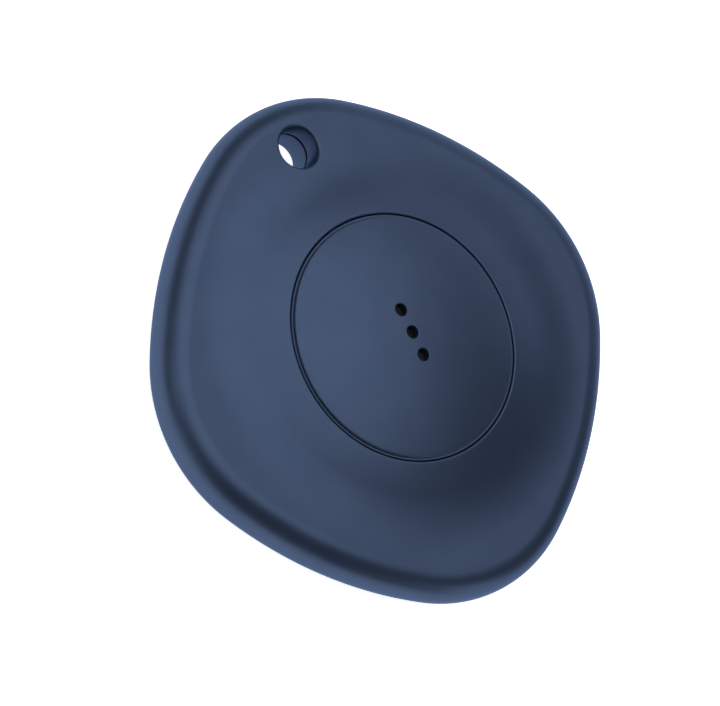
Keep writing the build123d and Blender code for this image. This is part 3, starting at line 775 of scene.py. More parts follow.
def board_tracks(tree, place):
    """Copper tracks under the mask: short runs at right angles, a step up where there is copper."""
    cells = {"Vector": place, "Scale": 1 / (1.1 * MM), "Randomness": 0.35}
    tracks = add_node(tree, "ShaderNodeTexVoronoi", cells, feature="DISTANCE_TO_EDGE", distance="MANHATTAN")
    edges = {
        "Value": tracks.outputs["Distance"], "From Min": 0.10, "From Max": 0.16, "To Min": 0.7, "To Max": 0.3
    }
    return add_node(tree, "ShaderNodeMapRange", edges).outputs["Result"]


def foam_cells(tree, place):
    """Burst bubbles, a third of a millimetre across."""
    bubbles = add_node(tree, "ShaderNodeTexVoronoi", {"Vector": place, "Scale": 1 / (0.35 * MM)})
    return bubbles.outputs["Distance"]


def turned_rings(tree, place):
    """Fine rings left by turning or drawing, round the Z axis. Real ones are finer than 0.12 mm."""
    rings = {"Vector": place, "Scale": 1 / (0.12 * MM) / 6, "Distortion": 0.4, "Detail": 1.0}
    return add_node(tree, "ShaderNodeTexWave", rings, wave_type="RINGS", rings_direction="Z").outputs["Fac"]


def all_materials():
    """Every finish of the tag, by a short name."""
    case = bpy.context.scene.tag_colours.case
    deep = bpy.context.scene.tag_colours.case_deep
    floor = bpy.context.scene.tag_colours.floor
    return {
        # ABS with a fine metallic pigment from a spark-eroded mould: satin, its broad highlights stay blue.
        "case": surface(
            "satin_blue_abs", (case, deep), 3.0, 0.14, 0.0016, (0.38, 0.45), Metallic=0.75,
            Specular_Tint=linear("#A9BCE0"),
        ),
        # Silicone rubber, moulded: dark, a dull soft sheen and no sparkle.
        "seal": surface("black_silicone", ("#1A1B1E", "#232529"), 2.0, 0.10, 0.004, (0.55, 0.70), IOR=1.41),
        # Clear-grey silicone of the return ring: softer and paler, light goes a little way in.
        "ring": surface("grey_silicone", ("#8B9096", "#9A9FA5"), 2.0, 0.12, 0.004, (0.40, 0.55), IOR=1.41),
        # Polyurethane foam, cut from a sheet: charcoal, full of burst cells.
        "foam": surface(
            "charcoal_pu_foam", ("#2B2C2E", "#3A3B3E"), 0.6, 0.35, 0.06, (0.85, 0.97), relief=foam_cells
        ),
        # Stainless steel cup, deep drawn: bright, with fine rings round its axis.
        "cell_steel": surface(
            "drawn_stainless", ("#C9CBCD", "#B7BABD"), 6.0, 0.12, 0.0012, (0.22, 0.34),
            relief=turned_rings, Metallic=1.0,
        ),
        # Stainless cap, drawn and tumbled: a shade warmer and duller than the cup.
        "cap_steel": surface(
            "tumbled_stainless", ("#BDBAB4", "#CBC9C4"), 2.5, 0.20, 0.003, (0.28, 0.42), Metallic=1.0
        ),
        # Polypropylene gasket, injected: milky and waxy.
        "gasket": surface(
            "natural_polypropylene", ("#C9CCC4", "#D6D8D1"), 2.0, 0.15, 0.003, (0.38, 0.5), IOR=1.49
        ),
        # Pressed manganese dioxide: sooty black with a gritty face.
        "cathode": surface("pressed_manganese_dioxide", ("#151413", "#262422"), 0.5, 0.08, 0.02, (0.8, 0.95)),
        # Polypropylene felt: white, with flat fused threads.
        "felt": surface(
            "bonded_pp_felt", ("#E4E3DE", "#CFCEC8"), 0.3, 0.12, 0.02, (0.7, 0.9), stretch=(1, 0.25, 1)
        ),
        # Rolled lithium: a dull silver grey, drawn out in streaks.
        "lithium": surface(
            "rolled_lithium", ("#A7A8A6", "#8A8B8C"), 1.2, 0.3, 0.006, (0.4, 0.6),
            stretch=(1, 0.1, 1), Metallic=1.0,
        ),
        # Glass-epoxy laminate under green solder mask: glossy, its copper tracks stand up under the mask.
        "board": surface(
            "green_masked_laminate", ("#12402C", "#18523A"), 0.9, 1.1, 0.012, (0.22, 0.34),
            relief=board_tracks, IOR=1.55,
        ),
        # Gold-flashed spring bronze, blanked and bent: warm, satin from rolling along its length.
        "gold": surface(
            "gold_flashed_bronze", ("#D9B25A", "#C79C48"), 1.0, 0.06, 0.0015, (0.2, 0.34),
            stretch=(0.15, 1, 1), Metallic=1.0,
        ),
        # Zinc-plated steel, cold headed: cool and slightly cloudy.
        "screw": surface(
            "zinc_plated_steel", ("#A9ADB2", "#989CA2"), 0.4, 0.08, 0.003, (0.26, 0.42), Metallic=1.0
        ),
        # Black epoxy moulding compound, moulded in a blasted mould: flat, with a fine grit.
        "chip": surface(
            "black_epoxy_compound", ("#1C1D1F", "#26272A"), 0.8, 0.05, 0.004, (0.55, 0.7), IOR=1.55
        ),
        # Nickel-plated lid, rolled and seam welded: bright and a little warm.
        "can": surface(
            "nickel_plated_lid", ("#C4C1BA", "#B2AFA8"), 0.8, 0.05, 0.001, (0.24, 0.36), Metallic=1.0
        ),
        # Fired low-temperature ceramic: chalky off-white.
        "antenna": surface(
            "white_fired_ceramic", ("#DAD8D0", "#CBC9C0"), 0.5, 0.05, 0.003, (0.45, 0.6), IOR=1.7
        ),
        # Sintered ferrite, tumbled: near black with a stony sheen.
        "ferrite": surface(
            "sintered_ferrite", ("#2C2B2D", "#3B3A3B"), 0.4, 0.06, 0.006, (0.45, 0.62), IOR=2.0
        ),
        # Barium titanate layers, fired: tan and slightly glazed.
        "capacitor": surface(
            "fired_barium_titanate", ("#A98B66", "#967852"), 0.3, 0.04, 0.002, (0.3, 0.45), IOR=1.8
        ),
        # Resistor glaze over thick film: black and glassy.
        "resistor": surface(
            "black_resistor_glaze", ("#17181B", "#22252A"), 0.3, 0.04, 0.002, (0.2, 0.35), IOR=1.6
        ),
        # Hot-dipped tin on the small parts' ends: silvery and lumpy.
        "tin": surface("dipped_tin", ("#C6C8CA", "#B0B3B6"), 0.2, 0.10, 0.006, (0.24, 0.4), Metallic=1.0),
        # Glass-filled black nylon of the switch: dull, with fibres near the surface.
        "switch": surface(
            "glass_filled_black_nylon", ("#1F2023", "#2A2B2E"), 0.5, 0.07, 0.004, (0.45, 0.6), IOR=1.53
        ),
        # Acetal plunger, injected: milk white and slippery.
        "plunger": surface("white_acetal", ("#DEDDD8", "#D1D0CA"), 1.0, 0.10, 0.002, (0.3, 0.42), IOR=1.48),
        # Spring steel dome, pressed from mirror strip: bright with faint rings.
        "dome": surface(
            "pressed_spring_steel", ("#CFCFCE", "#BDBDBD"), 0.6, 0.1, 0.001, (0.16, 0.26),
            relief=turned_rings, Metallic=1.0,
        ),
        # Woven polyester of the sound mesh: black threads with a faint nylon shine.
        "mesh": surface(
            "black_woven_polyester", ("#0E0F11", "#17181B"), 0.3, 0.02, 0.001, (0.45, 0.6), IOR=1.6
        ),
        # Rolled brass plate of the buzzer: yellow and brushed one way.
        "brass": surface(
            "rolled_brass", ("#C9A759", "#B8954A"), 1.5, 0.05, 0.0015, (0.2, 0.34),
            stretch=(0.1, 1, 1), Metallic=1.0,
        ),
        # Silver fired onto the buzzer's ceramic disc: pale, matt and finely pitted.
        "silvered": surface(
            "fired_silver_electrode", ("#D5D4D0", "#C5C4BF"), 0.8, 0.08, 0.004, (0.4, 0.55), Metallic=0.8
        ),
        # Grey polycarbonate of the buzzer's carrier, moulded: satin.
        "carrier": surface(
            "grey_polycarbonate", ("#565B63", "#61666E"), 2.0, 0.12, 0.003, (0.42, 0.55), IOR=1.585
        ),
        # Painted board of the floor: matt and pale. Its own light stands for the lit table under the tag.
        "floor": surface(
            "pale_painted_board", (floor, "#FFFFFF"), 40.0, 0.8, 0.01, (0.6, 0.7),
            Emission_Color=(1, 1, 1, 1), Emission_Strength=bpy.context.scene.tag_stage.floor_glow,
        ),
    }


def finish(key):
    """The finish of this short name, made with all the others when first asked for."""
    if not FINISHES:
        FINISHES.update(all_materials())
    return FINISHES[key]


FINISHES = {}


# ================================================================ pieces and copies
def new_piece(name, mesh, body, key, slot, *nodes):
    """Puts a finished mesh in the scene, on its body, with its finish, in place of its nodes."""
    piece = bpy.data.objects.new(name, mesh)
    bpy.context.scene.collection.objects.link(piece)
    mesh.name = name
    mesh.materials.clear()
    mesh.materials.append(finish(key))
    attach(piece, body)
    if nodes:
        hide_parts(*nodes)
    return piece


def dress(key, *nodes):
    """Gives CAD nodes whose shape is right their finish."""
    for node in nodes:
        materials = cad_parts[node].data.materials
        for k in range(len(materials)):
            materials[k] = finish(key)


def node_box(node):
    """A node's lowest and highest corners in millimetres."""
    low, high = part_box(node)
    return low / MM, high / MM


def quarter_round(radius, height, bend, first, last, count):
    """(radius, height) pairs of an arc about a point, between two turns in degrees up from level."""
    turns = np.radians(np.linspace(first, last, count))
    return [(radius + bend * cos(turn), height + bend * sin(turn)) for turn in turns]


def turned_mesh(name, outline, steps=ROUND_STEPS):
    """A closed skin turned about the Z axis from (radius, height) pairs that start and end on a flat face."""
    skin = Skin()
    rings = [skin.ring(circle(radius, steps), height) for radius, height in outline]
    skin.bands(rings)
    skin.bm.faces.new(rings[0])
    skin.bm.faces.new(rings[-1])
    return skin.mesh(name)


def disc_mesh(name, node, edge):
    """A round disc that fills a node's box, its edges broken."""
    low, high = node_box(node)
    inner, outer = high.x - edge, high.x
    return turned_mesh(name, [(inner, low.z), (outer, low.z + edge), (outer, high.z - edge), (inner, high.z)])


def hoop_mesh(name, outline, steps=ROUND_STEPS):
    """A ring turned about the Z axis from a closed outline of (radius, height) pairs."""
    skin = Skin()
    rings = [skin.ring(circle(radius, steps), height) for radius, height in outline]
    skin.bands([*rings, rings[0]])
    return skin.mesh(name)


def rounded_rectangle(centre, long, wide, corner):
    """Points of a rectangle with rounded corners."""
    points = []
    for k, (sx, sy) in enumerate(((1, 1), (-1, 1), (-1, -1), (1, -1))):
        for step in arc_steps(4):
            turn = radians(90 * k + 90 * step)
            x = centre[0] + sx * (long / 2 - corner) + corner * cos(turn)
            y = centre[1] + sy * (wide / 2 - corner) + corner * sin(turn)
            points.append((x, y))
    return np.array(points)


def add_block(skin, centre, size, floor, edge, dimple=None):
    """A block with broken edges, and maybe a round mark (x, y, radius) sunk in its top."""
    long, wide, height = size
    corner = edge * 1.5
    rings = []
    for inset, z in (
        (edge, 0), (0, edge), (0, height - edge), (edge * 0.3, height - edge * 0.3), (edge, height)
    ):
        points = rounded_rectangle(centre, long - 2 * inset, wide - 2 * inset, corner - inset * 0.9)
        rings.append(skin.ring(points, floor + z))
    skin.bands(rings)
    skin.bm.faces.new(rings[0])
    if not dimple:
        skin.bm.faces.new(rings[-1])
        return
    mark = (centre[0] + dimple[0], centre[1] + dimple[1])
    mouth = skin.ring(circle(dimple[2], 20, mark), floor + height)
    sunk = skin.ring(circle(dimple[2] * 0.85, 20, mark), floor + height - 0.04)
    skin.sheet(rings[-1], [mouth])
    skin.band(mouth, sunk)
    skin.bm.faces.new(sunk)


def block_mesh(name, blocks):
    """One mesh of several blocks, each given as add_block takes it."""
    skin = Skin()
    for block in blocks:
        add_block(skin, *block)
    return skin.mesh(name)


def new_tree(name, sizes):
    """An empty geometry tree with the base geometry and these named inputs; sizes gives each one's kind."""
    tree = bpy.data.node_groups.new(name, "GeometryNodeTree")
    tree.interface.new_socket("Geometry", in_out="OUTPUT", socket_type="NodeSocketGeometry")
    for key, kind in sizes.items():
        tree.interface.new_socket(key, in_out="INPUT", socket_type="NodeSocket" + kind)
    given = tree.nodes.new("NodeGroupInput").outputs
    return tree, given


def end_tree(tree, given, geometry):
    """Ends a tree in real geometry with its material."""
    real = add_node(tree, "GeometryNodeRealizeInstances", {"Geometry": geometry}).outputs[0]
    dressed = {"Geometry": real, "Material": given["Finish"]}
    done = add_node(tree, "GeometryNodeSetMaterial", dressed).outputs[0]
    tree.links.new(done, tree.nodes.new("NodeGroupOutput").inputs[0])


def ring_tree():
    """Copies of an object evenly spaced round the Z axis, each turned to face outwards."""
    kinds = {"Copy": "Object", "Count": "Int", "Radius": "Float", "First Turn": "Float", "Finish": "Material"}
    tree, given = new_tree("copies_round_a_ring", kinds)
    points = add_node(tree, "GeometryNodeMeshCircle", {"Vertices": given["Count"], "Radius": given["Radius"]})
    index = add_node(tree, "GeometryNodeInputIndex").outputs[0]
    sector = add_node(tree, "ShaderNodeMath", {0: 2 * pi, 1: given["Count"]}, operation="DIVIDE").outputs[0]
    turn = add_node(tree, "ShaderNodeMath", {0: index, 1: sector}, operation="MULTIPLY").outputs[0]
    facing = add_node(tree, "ShaderNodeCombineXYZ", {"Z": turn}).outputs[0]
    copy = add_node(tree, "GeometryNodeObjectInfo", {"Object": given["Copy"]}).outputs["Geometry"]
    placed = {"Points": points.outputs[0], "Instance": copy, "Rotation": facing}
    copies = add_node(tree, "GeometryNodeInstanceOnPoints", placed).outputs[0]
    whole = add_node(tree, "ShaderNodeCombineXYZ", {"Z": given["First Turn"]}).outputs[0]
    turned = add_node(tree, "GeometryNodeTransform", {"Geometry": copies, "Rotation": whole}).outputs[0]
    end_tree(tree, given, turned)
    return tree


def row_tree():
    """Copies of an object in a straight row."""
    kinds = {"Copy": "Object", "Count": "Int", "First": "Vector", "Step": "Vector", "Finish": "Material"}
    tree, given = new_tree("copies_in_a_row", kinds)
    places = {"Count": given["Count"], "Start Location": given["First"], "Offset": given["Step"]}
    points = add_node(tree, "GeometryNodeMeshLine", places).outputs[0]
    copy = add_node(tree, "GeometryNodeObjectInfo", {"Object": given["Copy"]}).outputs["Geometry"]
    copies = add_node(tree, "GeometryNodeInstanceOnPoints", {"Points": points, "Instance": copy}).outputs[0]
    end_tree(tree, given, copies)
    return tree


def weave_tree():
    """A round of plain-woven cloth: wavy threads one way, and the same turned across them and over."""
    kinds = {
        "Radius": "Float", "Pitch": "Float", "Thread": "Float", "Flatness": "Float", "Height": "Float",
        "Finish": "Material",
    }
    tree, given = new_tree("woven_round", kinds)

    def maths(operation, *values):
        return add_node(tree, "ShaderNodeMath", dict(enumerate(values)), operation=operation).outputs[0]

    across = maths("CEIL", maths("DIVIDE", given["Radius"], given["Pitch"]))
    count = maths("ADD", maths("MULTIPLY", across, 2.0), 1.0)
    reach = maths("MULTIPLY", across, given["Pitch"])
    back = maths("MULTIPLY", reach, -1.0)
    start = add_node(tree, "ShaderNodeCombineXYZ", {"X": back}).outputs[0]
    end = add_node(tree, "ShaderNodeCombineXYZ", {"X": reach}).outputs[0]
    line = add_node(tree, "GeometryNodeCurvePrimitiveLine", {"Start": start, "End": end}).outputs[0]
    samples = maths("ADD", maths("MULTIPLY", across, 4.0), 1.0)
    fine = add_node(tree, "GeometryNodeResampleCurve", {"Curve": line, "Count": samples}).outputs[0]
    position = add_node(tree, "GeometryNodeInputPosition").outputs[0]
    along = add_node(tree, "ShaderNodeSeparateXYZ", {"Vector": position}).outputs["X"]
    phase = maths("MULTIPLY", maths("DIVIDE", along, given["Pitch"]), pi)
    lift = maths("MULTIPLY", maths("COSINE", phase), maths("MULTIPLY", given["Thread"], 0.5))
    offset = add_node(tree, "ShaderNodeCombineXYZ", {"Z": lift}).outputs[0]
    wavy = add_node(tree, "GeometryNodeSetPosition", {"Geometry": fine, "Offset": offset}).outputs[0]
    first = add_node(tree, "ShaderNodeCombineXYZ", {"Y": back}).outputs[0]
    step = add_node(tree, "ShaderNodeCombineXYZ", {"Y": given["Pitch"]}).outputs[0]
    spacing = {"Count": count, "Start Location": first, "Offset": step}
    rows = add_node(tree, "GeometryNodeMeshLine", spacing).outputs[0]
    index = add_node(tree, "GeometryNodeInputIndex").outputs[0]
    flip = add_node(tree, "ShaderNodeCombineXYZ", {"X": maths("MULTIPLY", index, pi)}).outputs[0]
    copies = {"Points": rows, "Instance": wavy, "Rotation": flip}
    warp = add_node(tree, "GeometryNodeInstanceOnPoints", copies).outputs[0]
    warp = add_node(tree, "GeometryNodeRealizeInstances", {"Geometry": warp}).outputs[0]
    level = {0: position, 1: (1, 1, 0)}
    plan = add_node(tree, "ShaderNodeVectorMath", level, operation="MULTIPLY").outputs[0]
    far = add_node(tree, "ShaderNodeVectorMath", {0: plan}, operation="LENGTH").outputs["Value"]
    reaches = {0: far, 1: given["Radius"]}
    past = add_node(tree, "FunctionNodeCompare", reaches, operation="GREATER_THAN").outputs[0]
    warp = add_node(tree, "GeometryNodeDeleteGeometry", {"Geometry": warp, "Selection": past}).outputs[0]
    half_thread = maths("MULTIPLY", given["Thread"], 0.5)
    six_sided = {"Resolution": 6, "Radius": half_thread}
    section = add_node(tree, "GeometryNodeCurvePrimitiveCircle", six_sided).outputs[0]
    broad = add_node(tree, "ShaderNodeCombineXYZ", {"X": given["Flatness"], "Y": 1.0, "Z": 1.0}).outputs[0]
    section = add_node(tree, "GeometryNodeTransform", {"Geometry": section, "Scale": broad}).outputs[0]
    upright = add_node(tree, "GeometryNodeSetCurveNormal", {"Curve": warp}, mode="Z_UP").outputs[0]
    sweep = {"Curve": upright, "Profile Curve": section, "Fill Caps": True}
    threads = add_node(tree, "GeometryNodeCurveToMesh", sweep).outputs[0]
    crossing = {"Geometry": threads, "Rotation": (pi, 0, pi / 2)}
    weft = add_node(tree, "GeometryNodeTransform", crossing).outputs[0]
    cloth = tree.nodes.new("GeometryNodeJoinGeometry")
    tree.links.new(threads, cloth.inputs[0])
    tree.links.new(weft, cloth.inputs[0])
    raised = add_node(tree, "ShaderNodeCombineXYZ", {"Z": given["Height"]}).outputs[0]
    lifted = {"Geometry": cloth.outputs[0], "Translation": raised}
    placed = add_node(tree, "GeometryNodeTransform", lifted).outputs[0]
    end_tree(tree, given, placed)
    return tree


def grown(name, tree, copy=None, **values):
    """Runs a tree with its inputs set by their identifiers, and gives back a plain mesh."""
    host = bpy.data.objects.new(name, bpy.data.meshes.new(name))
    bpy.context.scene.collection.objects.link(host)
    modifier = host.modifiers.new("grown", "NODES")
    modifier.node_group = tree
    if copy:
        model = bpy.data.objects.new(name + "_model", copy)
        bpy.context.scene.collection.objects.link(model)
        values["Copy"] = model
    sockets = {s.name: s.identifier for s in tree.interface.items_tree if s.in_out == "INPUT"}
    for key, value in values.items():
        modifier[sockets[key.replace("_", " ")]] = value
    ready = host.evaluated_get(bpy.context.evaluated_depsgraph_get())
    mesh = bpy.data.meshes.new_from_object(ready)
    host.modifiers.remove(modifier)
    bpy.data.objects.remove(host)
    if copy:
        bpy.data.objects.remove(model)
    return smoothed(mesh)


def press_down(piece):
    """Gives a springy piece its own copy of its mesh."""
    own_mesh(piece)


def screw_mesh(s):
    """One screw, head down under the board: a domed head with a cross in it, and a threaded shank."""
    low, high = node_box("board_screws")
    shank, head = s.inner.screw_shank, s.inner.screw_head
    skin = Skin()
    steps = 32
    outline = [(head * 0.72, low.z), (head * 0.93, low.z + 0.06), (head, low.z + 0.16)]
    outline += [(head, s.board_bottom - 0.02), (head - 0.02, s.board_bottom), (shank - 0.02, s.board_bottom)]
    thread_depth, thread_end, tip = 0.06, 0.25, 0.12
    z = s.board_bottom + 0.1
    while z < high.z - thread_end:
        outline += [(shank - thread_depth, z), (shank, z + s.inner.screw_pitch / 2)]
        z += s.inner.screw_pitch
    outline += [(shank - 0.08, high.z - tip), (shank * 0.5, high.z)]
    rings = [skin.ring(circle(radius, steps), height) for radius, height in outline]
    skin.bands(rings)
    skin.bm.faces.new(rings[-1])
    arm, half, cross_depth, taper = head / 2, s.inner.screw_slot / 2, 0.17, 0.9
    cross = [(arm, -half), (arm, half), (half, half), (half, arm), (-half, arm), (-half, half)]
    cross += [(-x, -y) for x, y in cross]
    mouth = skin.ring(cross, low.z)
    sunk = skin.ring([(x * taper, y * taper) for x, y in cross], low.z + cross_depth)
    skin.sheet(rings[0], [mouth])
    skin.band(mouth, sunk)
    skin.bm.faces.new(sunk)
    return skin.mesh("screw")


def node_copy(name, node, body, key, slot):
    """A merged copy of a CAD node's mesh as a piece of its own."""
    bm = bmesh.new()
    bm.from_mesh(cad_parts[node].data)
    bmesh.ops.remove_doubles(bm, verts=bm.verts[:], dist=1e-7)
    bmesh.ops.recalc_face_normals(bm, faces=bm.faces[:])
    mesh = bpy.data.meshes.new(name)
    bm.to_mesh(mesh)
    bm.free()
    return new_piece(name, smoothed(mesh), body, key, slot, node)


PLAY = 0.02         # a part's body stands this far inside its pads and caps


def chip(node, count, pitch):
    """A moulded chip with a round mark by its first pad, and a row of count tinned pads on each side."""
    low, high = node_box(node)
    middle, size = (low + high) / 2, high - low
    long, wide, thick, edge = 0.4, 0.24, 0.2, 0.02
    mark = (-size.x * 0.36, size.y * 0.36, 0.2)
    body = block_mesh(node, [(middle.xy, (size.x - 2 * PLAY, size.y - 2 * PLAY, size.z), low.z, 0.04, mark)])
    new_piece(node + "_body", body, "front_case", "chip", "chip_epoxy", node)
    run = pitch * (count - 1) / 2
    joined = bmesh.new()
    for side in (-1, 1):
        for shape, start, step in (
            ((wide, long, thick), (-run, side * (size.y - long) / 2), (pitch, 0, 0)),
            ((long, wide, thick), (side * (size.x - long) / 2, -run), (0, pitch, 0)),
        ):
            first = Vector((middle.x + start[0], middle.y + start[1], low.z))
            place = {"Count": count, "First": first * MM, "Step": Vector(step) * MM}
            pad = block_mesh("pad", [((0, 0), shape, 0, edge)])
            joined.from_mesh(grown("pads", row_tree(), pad, Finish=finish("tin"), **place))
    mesh = bpy.data.meshes.new(node + "_pads")
    joined.to_mesh(mesh)
    joined.free()
    new_piece(node + "_pads", mesh, "front_case", "tin", "crystal_can")


def capped_row(node, key, slot, edge, count=1, pitch=0.0):
    """A row of blocks along X, as many as count, with a tinned cap on both ends of each."""
    low, high = node_box(node)
    size = high - low
    long = size.x - pitch * (count - 1)
    cap = long * 0.2
    body = block_mesh(node, [((0, 0), (long - cap, size.y - 2 * PLAY, size.z - PLAY), 0, edge)])
    caps = block_mesh("caps", [
        ((side * (long - cap) / 2, 0), (cap, size.y, size.z), 0, min(0.04, edge)) for side in (-1, 1)
    ])
    first = Vector((low.x + long / 2, (low.y + high.y) / 2, low.z))
    place = {"Count": count, "First": first * MM, "Step": Vector((pitch, 0, 0)) * MM}
    bodies = grown(node + "_bodies", row_tree(), body, Finish=finish(key), **place)
    new_piece(node + "_bodies", bodies, "front_case", key, slot, node)
    ends = grown(node + "_ends", row_tree(), caps, Finish=finish("tin"), **place)
    new_piece(node + "_ends", ends, "front_case", "tin", "crystal_can")


# ================================================================ one operator for each group of pieces
class TAG_OT_front_shell(bpy.types.Operator):
    """Front shell: dome, button opening, rim and lanyard hole"""

    bl_idname = "tag.front_shell"
    bl_label = "Front shell"
    bl_options = {"REGISTER", "UNDO"}

    def execute(self, context):
        shell = front_shell_mesh(case_sizes())
        new_piece("front_case_shell", shell, "front_case", "case", "case_plastic", "front_shell")
        return {"FINISHED"}


class TAG_OT_rear_shell(bpy.types.Operator):
    """Rear shell: foot, dome, rim, and the tray of the coin cell inside"""

    bl_idname = "tag.rear_shell"
    bl_label = "Rear shell"
    bl_options = {"REGISTER", "UNDO"}

    def execute(self, context):
        shell = rear_shell_mesh(case_sizes())
        new_piece("rear_case_shell", shell, "rear_case", "case", "case_plastic", "rear_shell")
        return {"FINISHED"}


class TAG_OT_button(bpy.types.Operator):
    """Push button with its three sound holes"""

    bl_idname = "tag.button"
    bl_label = "Push button"
    bl_options = {"REGISTER", "UNDO"}

    def execute(self, context):
        moulding = button_mesh(case_sizes())
        new_piece("button_moulding", moulding, "button", "case", "button_plastic", "button_cap")
        return {"FINISHED"}


class TAG_OT_sound_mesh(bpy.types.Operator):
    """Woven mesh behind the sound holes"""

    bl_idname = "tag.sound_mesh"
    bl_label = "Sound mesh"
    bl_options = {"REGISTER", "UNDO"}

    def execute(self, context):
        low, high = node_box("acoustic_mesh")
        # Real threads lie 0.08 mm apart. They are drawn a little wider apart, so that the weave shows, and
        # half as wide again as they are thick, because such cloth is rolled flat to leave fine openings.
        pitch, flatness = 0.1, 1.5
        thread = (high.z - low.z) / 2
        slack = 0.98        # keeps the cloth just inside the room for two threads
        cloth = grown(
            "sound_mesh", weave_tree(), Radius=(high.x - thread) * MM, Pitch=pitch * MM,
            Thread=thread * slack * MM, Flatness=flatness, Height=(high.z + low.z) / 2 * MM,
            Finish=finish("mesh"),
        )
        new_piece("sound_mesh", cloth, "button", "mesh", "mesh_cloth", "acoustic_mesh")
        return {"FINISHED"}


class TAG_OT_buzzer(bpy.types.Operator):
    """Buzzer: brass plate, silvered ceramic disc, carrier and the springs that feed them"""

    bl_idname = "tag.buzzer"
    bl_label = "Buzzer"
    bl_options = {"REGISTER", "UNDO"}

    def execute(self, context):
        edge = 0.04
        plate = disc_mesh("buzzer_plate", "piezo_plate", edge)
        new_piece("buzzer_plate", plate, "button", "brass", "buzzer_brass", "piezo_plate")
        low, high = node_box("piezo_ceramic")
        # The ceramic's own rim stands bare round the silver, a step lower.
        silver = high.x - 0.55
        disc = [
            (silver, low.z), (silver - 0.05, low.z + edge), (high.x - edge, low.z + edge),
            (high.x, low.z + 2 * edge), (high.x, high.z),
        ]
        ceramic = turned_mesh("buzzer_disc", disc)
        new_piece("buzzer_disc", ceramic, "button", "silvered", "buzzer_ceramic", "piezo_ceramic")
        dress("carrier", "piezo_carrier")
        springs = node_copy("buzzer_springs", "piezo_springs", "front_case", "gold", "contact_gold")
        press_down(springs)
        return {"FINISHED"}


class TAG_OT_return_ring(bpy.types.Operator):
    """Rubber ring that lifts the button back"""

    bl_idname = "tag.return_ring"
    bl_label = "Return ring"
    bl_options = {"REGISTER", "UNDO"}

    def execute(self, context):
        s = case_sizes()
        low, high = node_box("button_return_ring")
        inner = s.opening_radius + s.button.flange_radius - high.x
        outer = high.x
        half_way = (low.z + high.z) / 2
        broken, waist = 0.1, 0.12       # broken edges, and how far the sides draw in half way up
        outline = [
            (inner + broken, low.z), (outer - broken, low.z), (outer, low.z + broken),
            (outer - waist, half_way), (outer, high.z - broken), (outer - broken, high.z),
            (inner + broken, high.z), (inner, high.z - broken), (inner + waist, half_way),
            (inner, low.z + broken),
        ]
        hoop = hoop_mesh("return_ring", outline)
        ring = new_piece("return_ring", hoop, "front_case", "ring", "ring_rubber", "button_return_ring")
        press_down(ring)
        return {"FINISHED"}


class TAG_OT_switch(bpy.types.Operator):
    """Tactile switch: body, dome and plunger"""

    bl_idname = "tag.switch"
    bl_label = "Switch"
    bl_options = {"REGISTER", "UNDO"}

    def execute(self, context):
        dress("switch", "switch_body")
        dress("plunger", "switch_plunger")
        dome = node_copy("switch_snap_dome", "switch_dome", "front_case", "dome", "dome_steel")
        press_down(dome)
        return {"FINISHED"}


class TAG_OT_coin_cell(bpy.types.Operator):
    """Coin cell: cup, cap, gasket and what is inside"""

    bl_idname = "tag.coin_cell"
    bl_label = "Coin cell"
    bl_options = {"REGISTER", "UNDO"}

    def execute(self, context):
        s = case_sizes()
        low, high = node_box("cell_can")
        reach, wall, brim_reach, bend = high.x, s.inner.cell_wall, s.inner.cell_brim, 0.3
        foot = quarter_round(reach - bend, low.z + bend, bend, -90, 0, 8)
        brim = quarter_round(reach - wall / 2, high.z - wall / 2, wall / 2, 0, 90, 6)
        panel, panel_slope, panel_depth = reach - 2.5, 0.1, 0.03
        # A shallow panel pressed into the cup's floor, the drawn foot, the wall and the crimped brim.
        outline = [(panel + panel_slope, low.z + panel_depth), (panel, low.z), *foot, *brim]
        outline += [
            (reach - brim_reach, high.z), (reach - brim_reach, high.z - wall), (reach - wall, high.z - wall)
        ]
        corner = 0.08
        outline += [(reach - wall, low.z + wall + corner), (reach - wall - corner, low.z + wall)]
        cup = turned_mesh("cell_cup", outline, BUTTON_STEPS)
        new_piece("cell_cup", cup, "coin_cell", "cell_steel", "cell_steel", "cell_can")

        low, high = node_box("cell_cap")
        thin, bend, rim_width = s.inner.cap_wall, 0.1, 0.6
        cap_radius = high.x - rim_width
        head = quarter_round(cap_radius - bend, high.z - bend, bend, 90, 0, 6)
        bead, bead_slope, dish = 1.35, 0.25, 0.03
        # The cap's face is dished a hair inside a narrow bead.
        outline = [(cap_radius - bead - bead_slope, high.z - dish), (cap_radius - bead, high.z), *head]
        outline += [
            (cap_radius, low.z + thin), (high.x, low.z + thin), (high.x, low.z), (cap_radius - thin, low.z)
        ]
        outline += [(cap_radius - thin, high.z - thin)]
        lid = turned_mesh("cell_lid", outline, BUTTON_STEPS)
        new_piece("cell_lid", lid, "coin_cell", "cap_steel", "cell_cap_steel", "cell_cap")
        dress("gasket", "cell_gasket")
        dress("cathode", "cell_cathode")
        dress("felt", "cell_separator")
        dress("lithium", "cell_anode")
        return {"FINISHED"}


class TAG_OT_soft_parts(bpy.types.Operator):
    """Case seal and the foam pad under the coin cell"""

    bl_idname = "tag.soft_parts"
    bl_label = "Seal and pad"
    bl_options = {"REGISTER", "UNDO"}

    def execute(self, context):
        dress("seal", "case_seal")
        cushion = disc_mesh("cell_cushion", "cell_pad", 0.06)
        new_piece("cell_cushion", cushion, "rear_case", "foam", "pad_foam", "cell_pad")
        return {"FINISHED"}


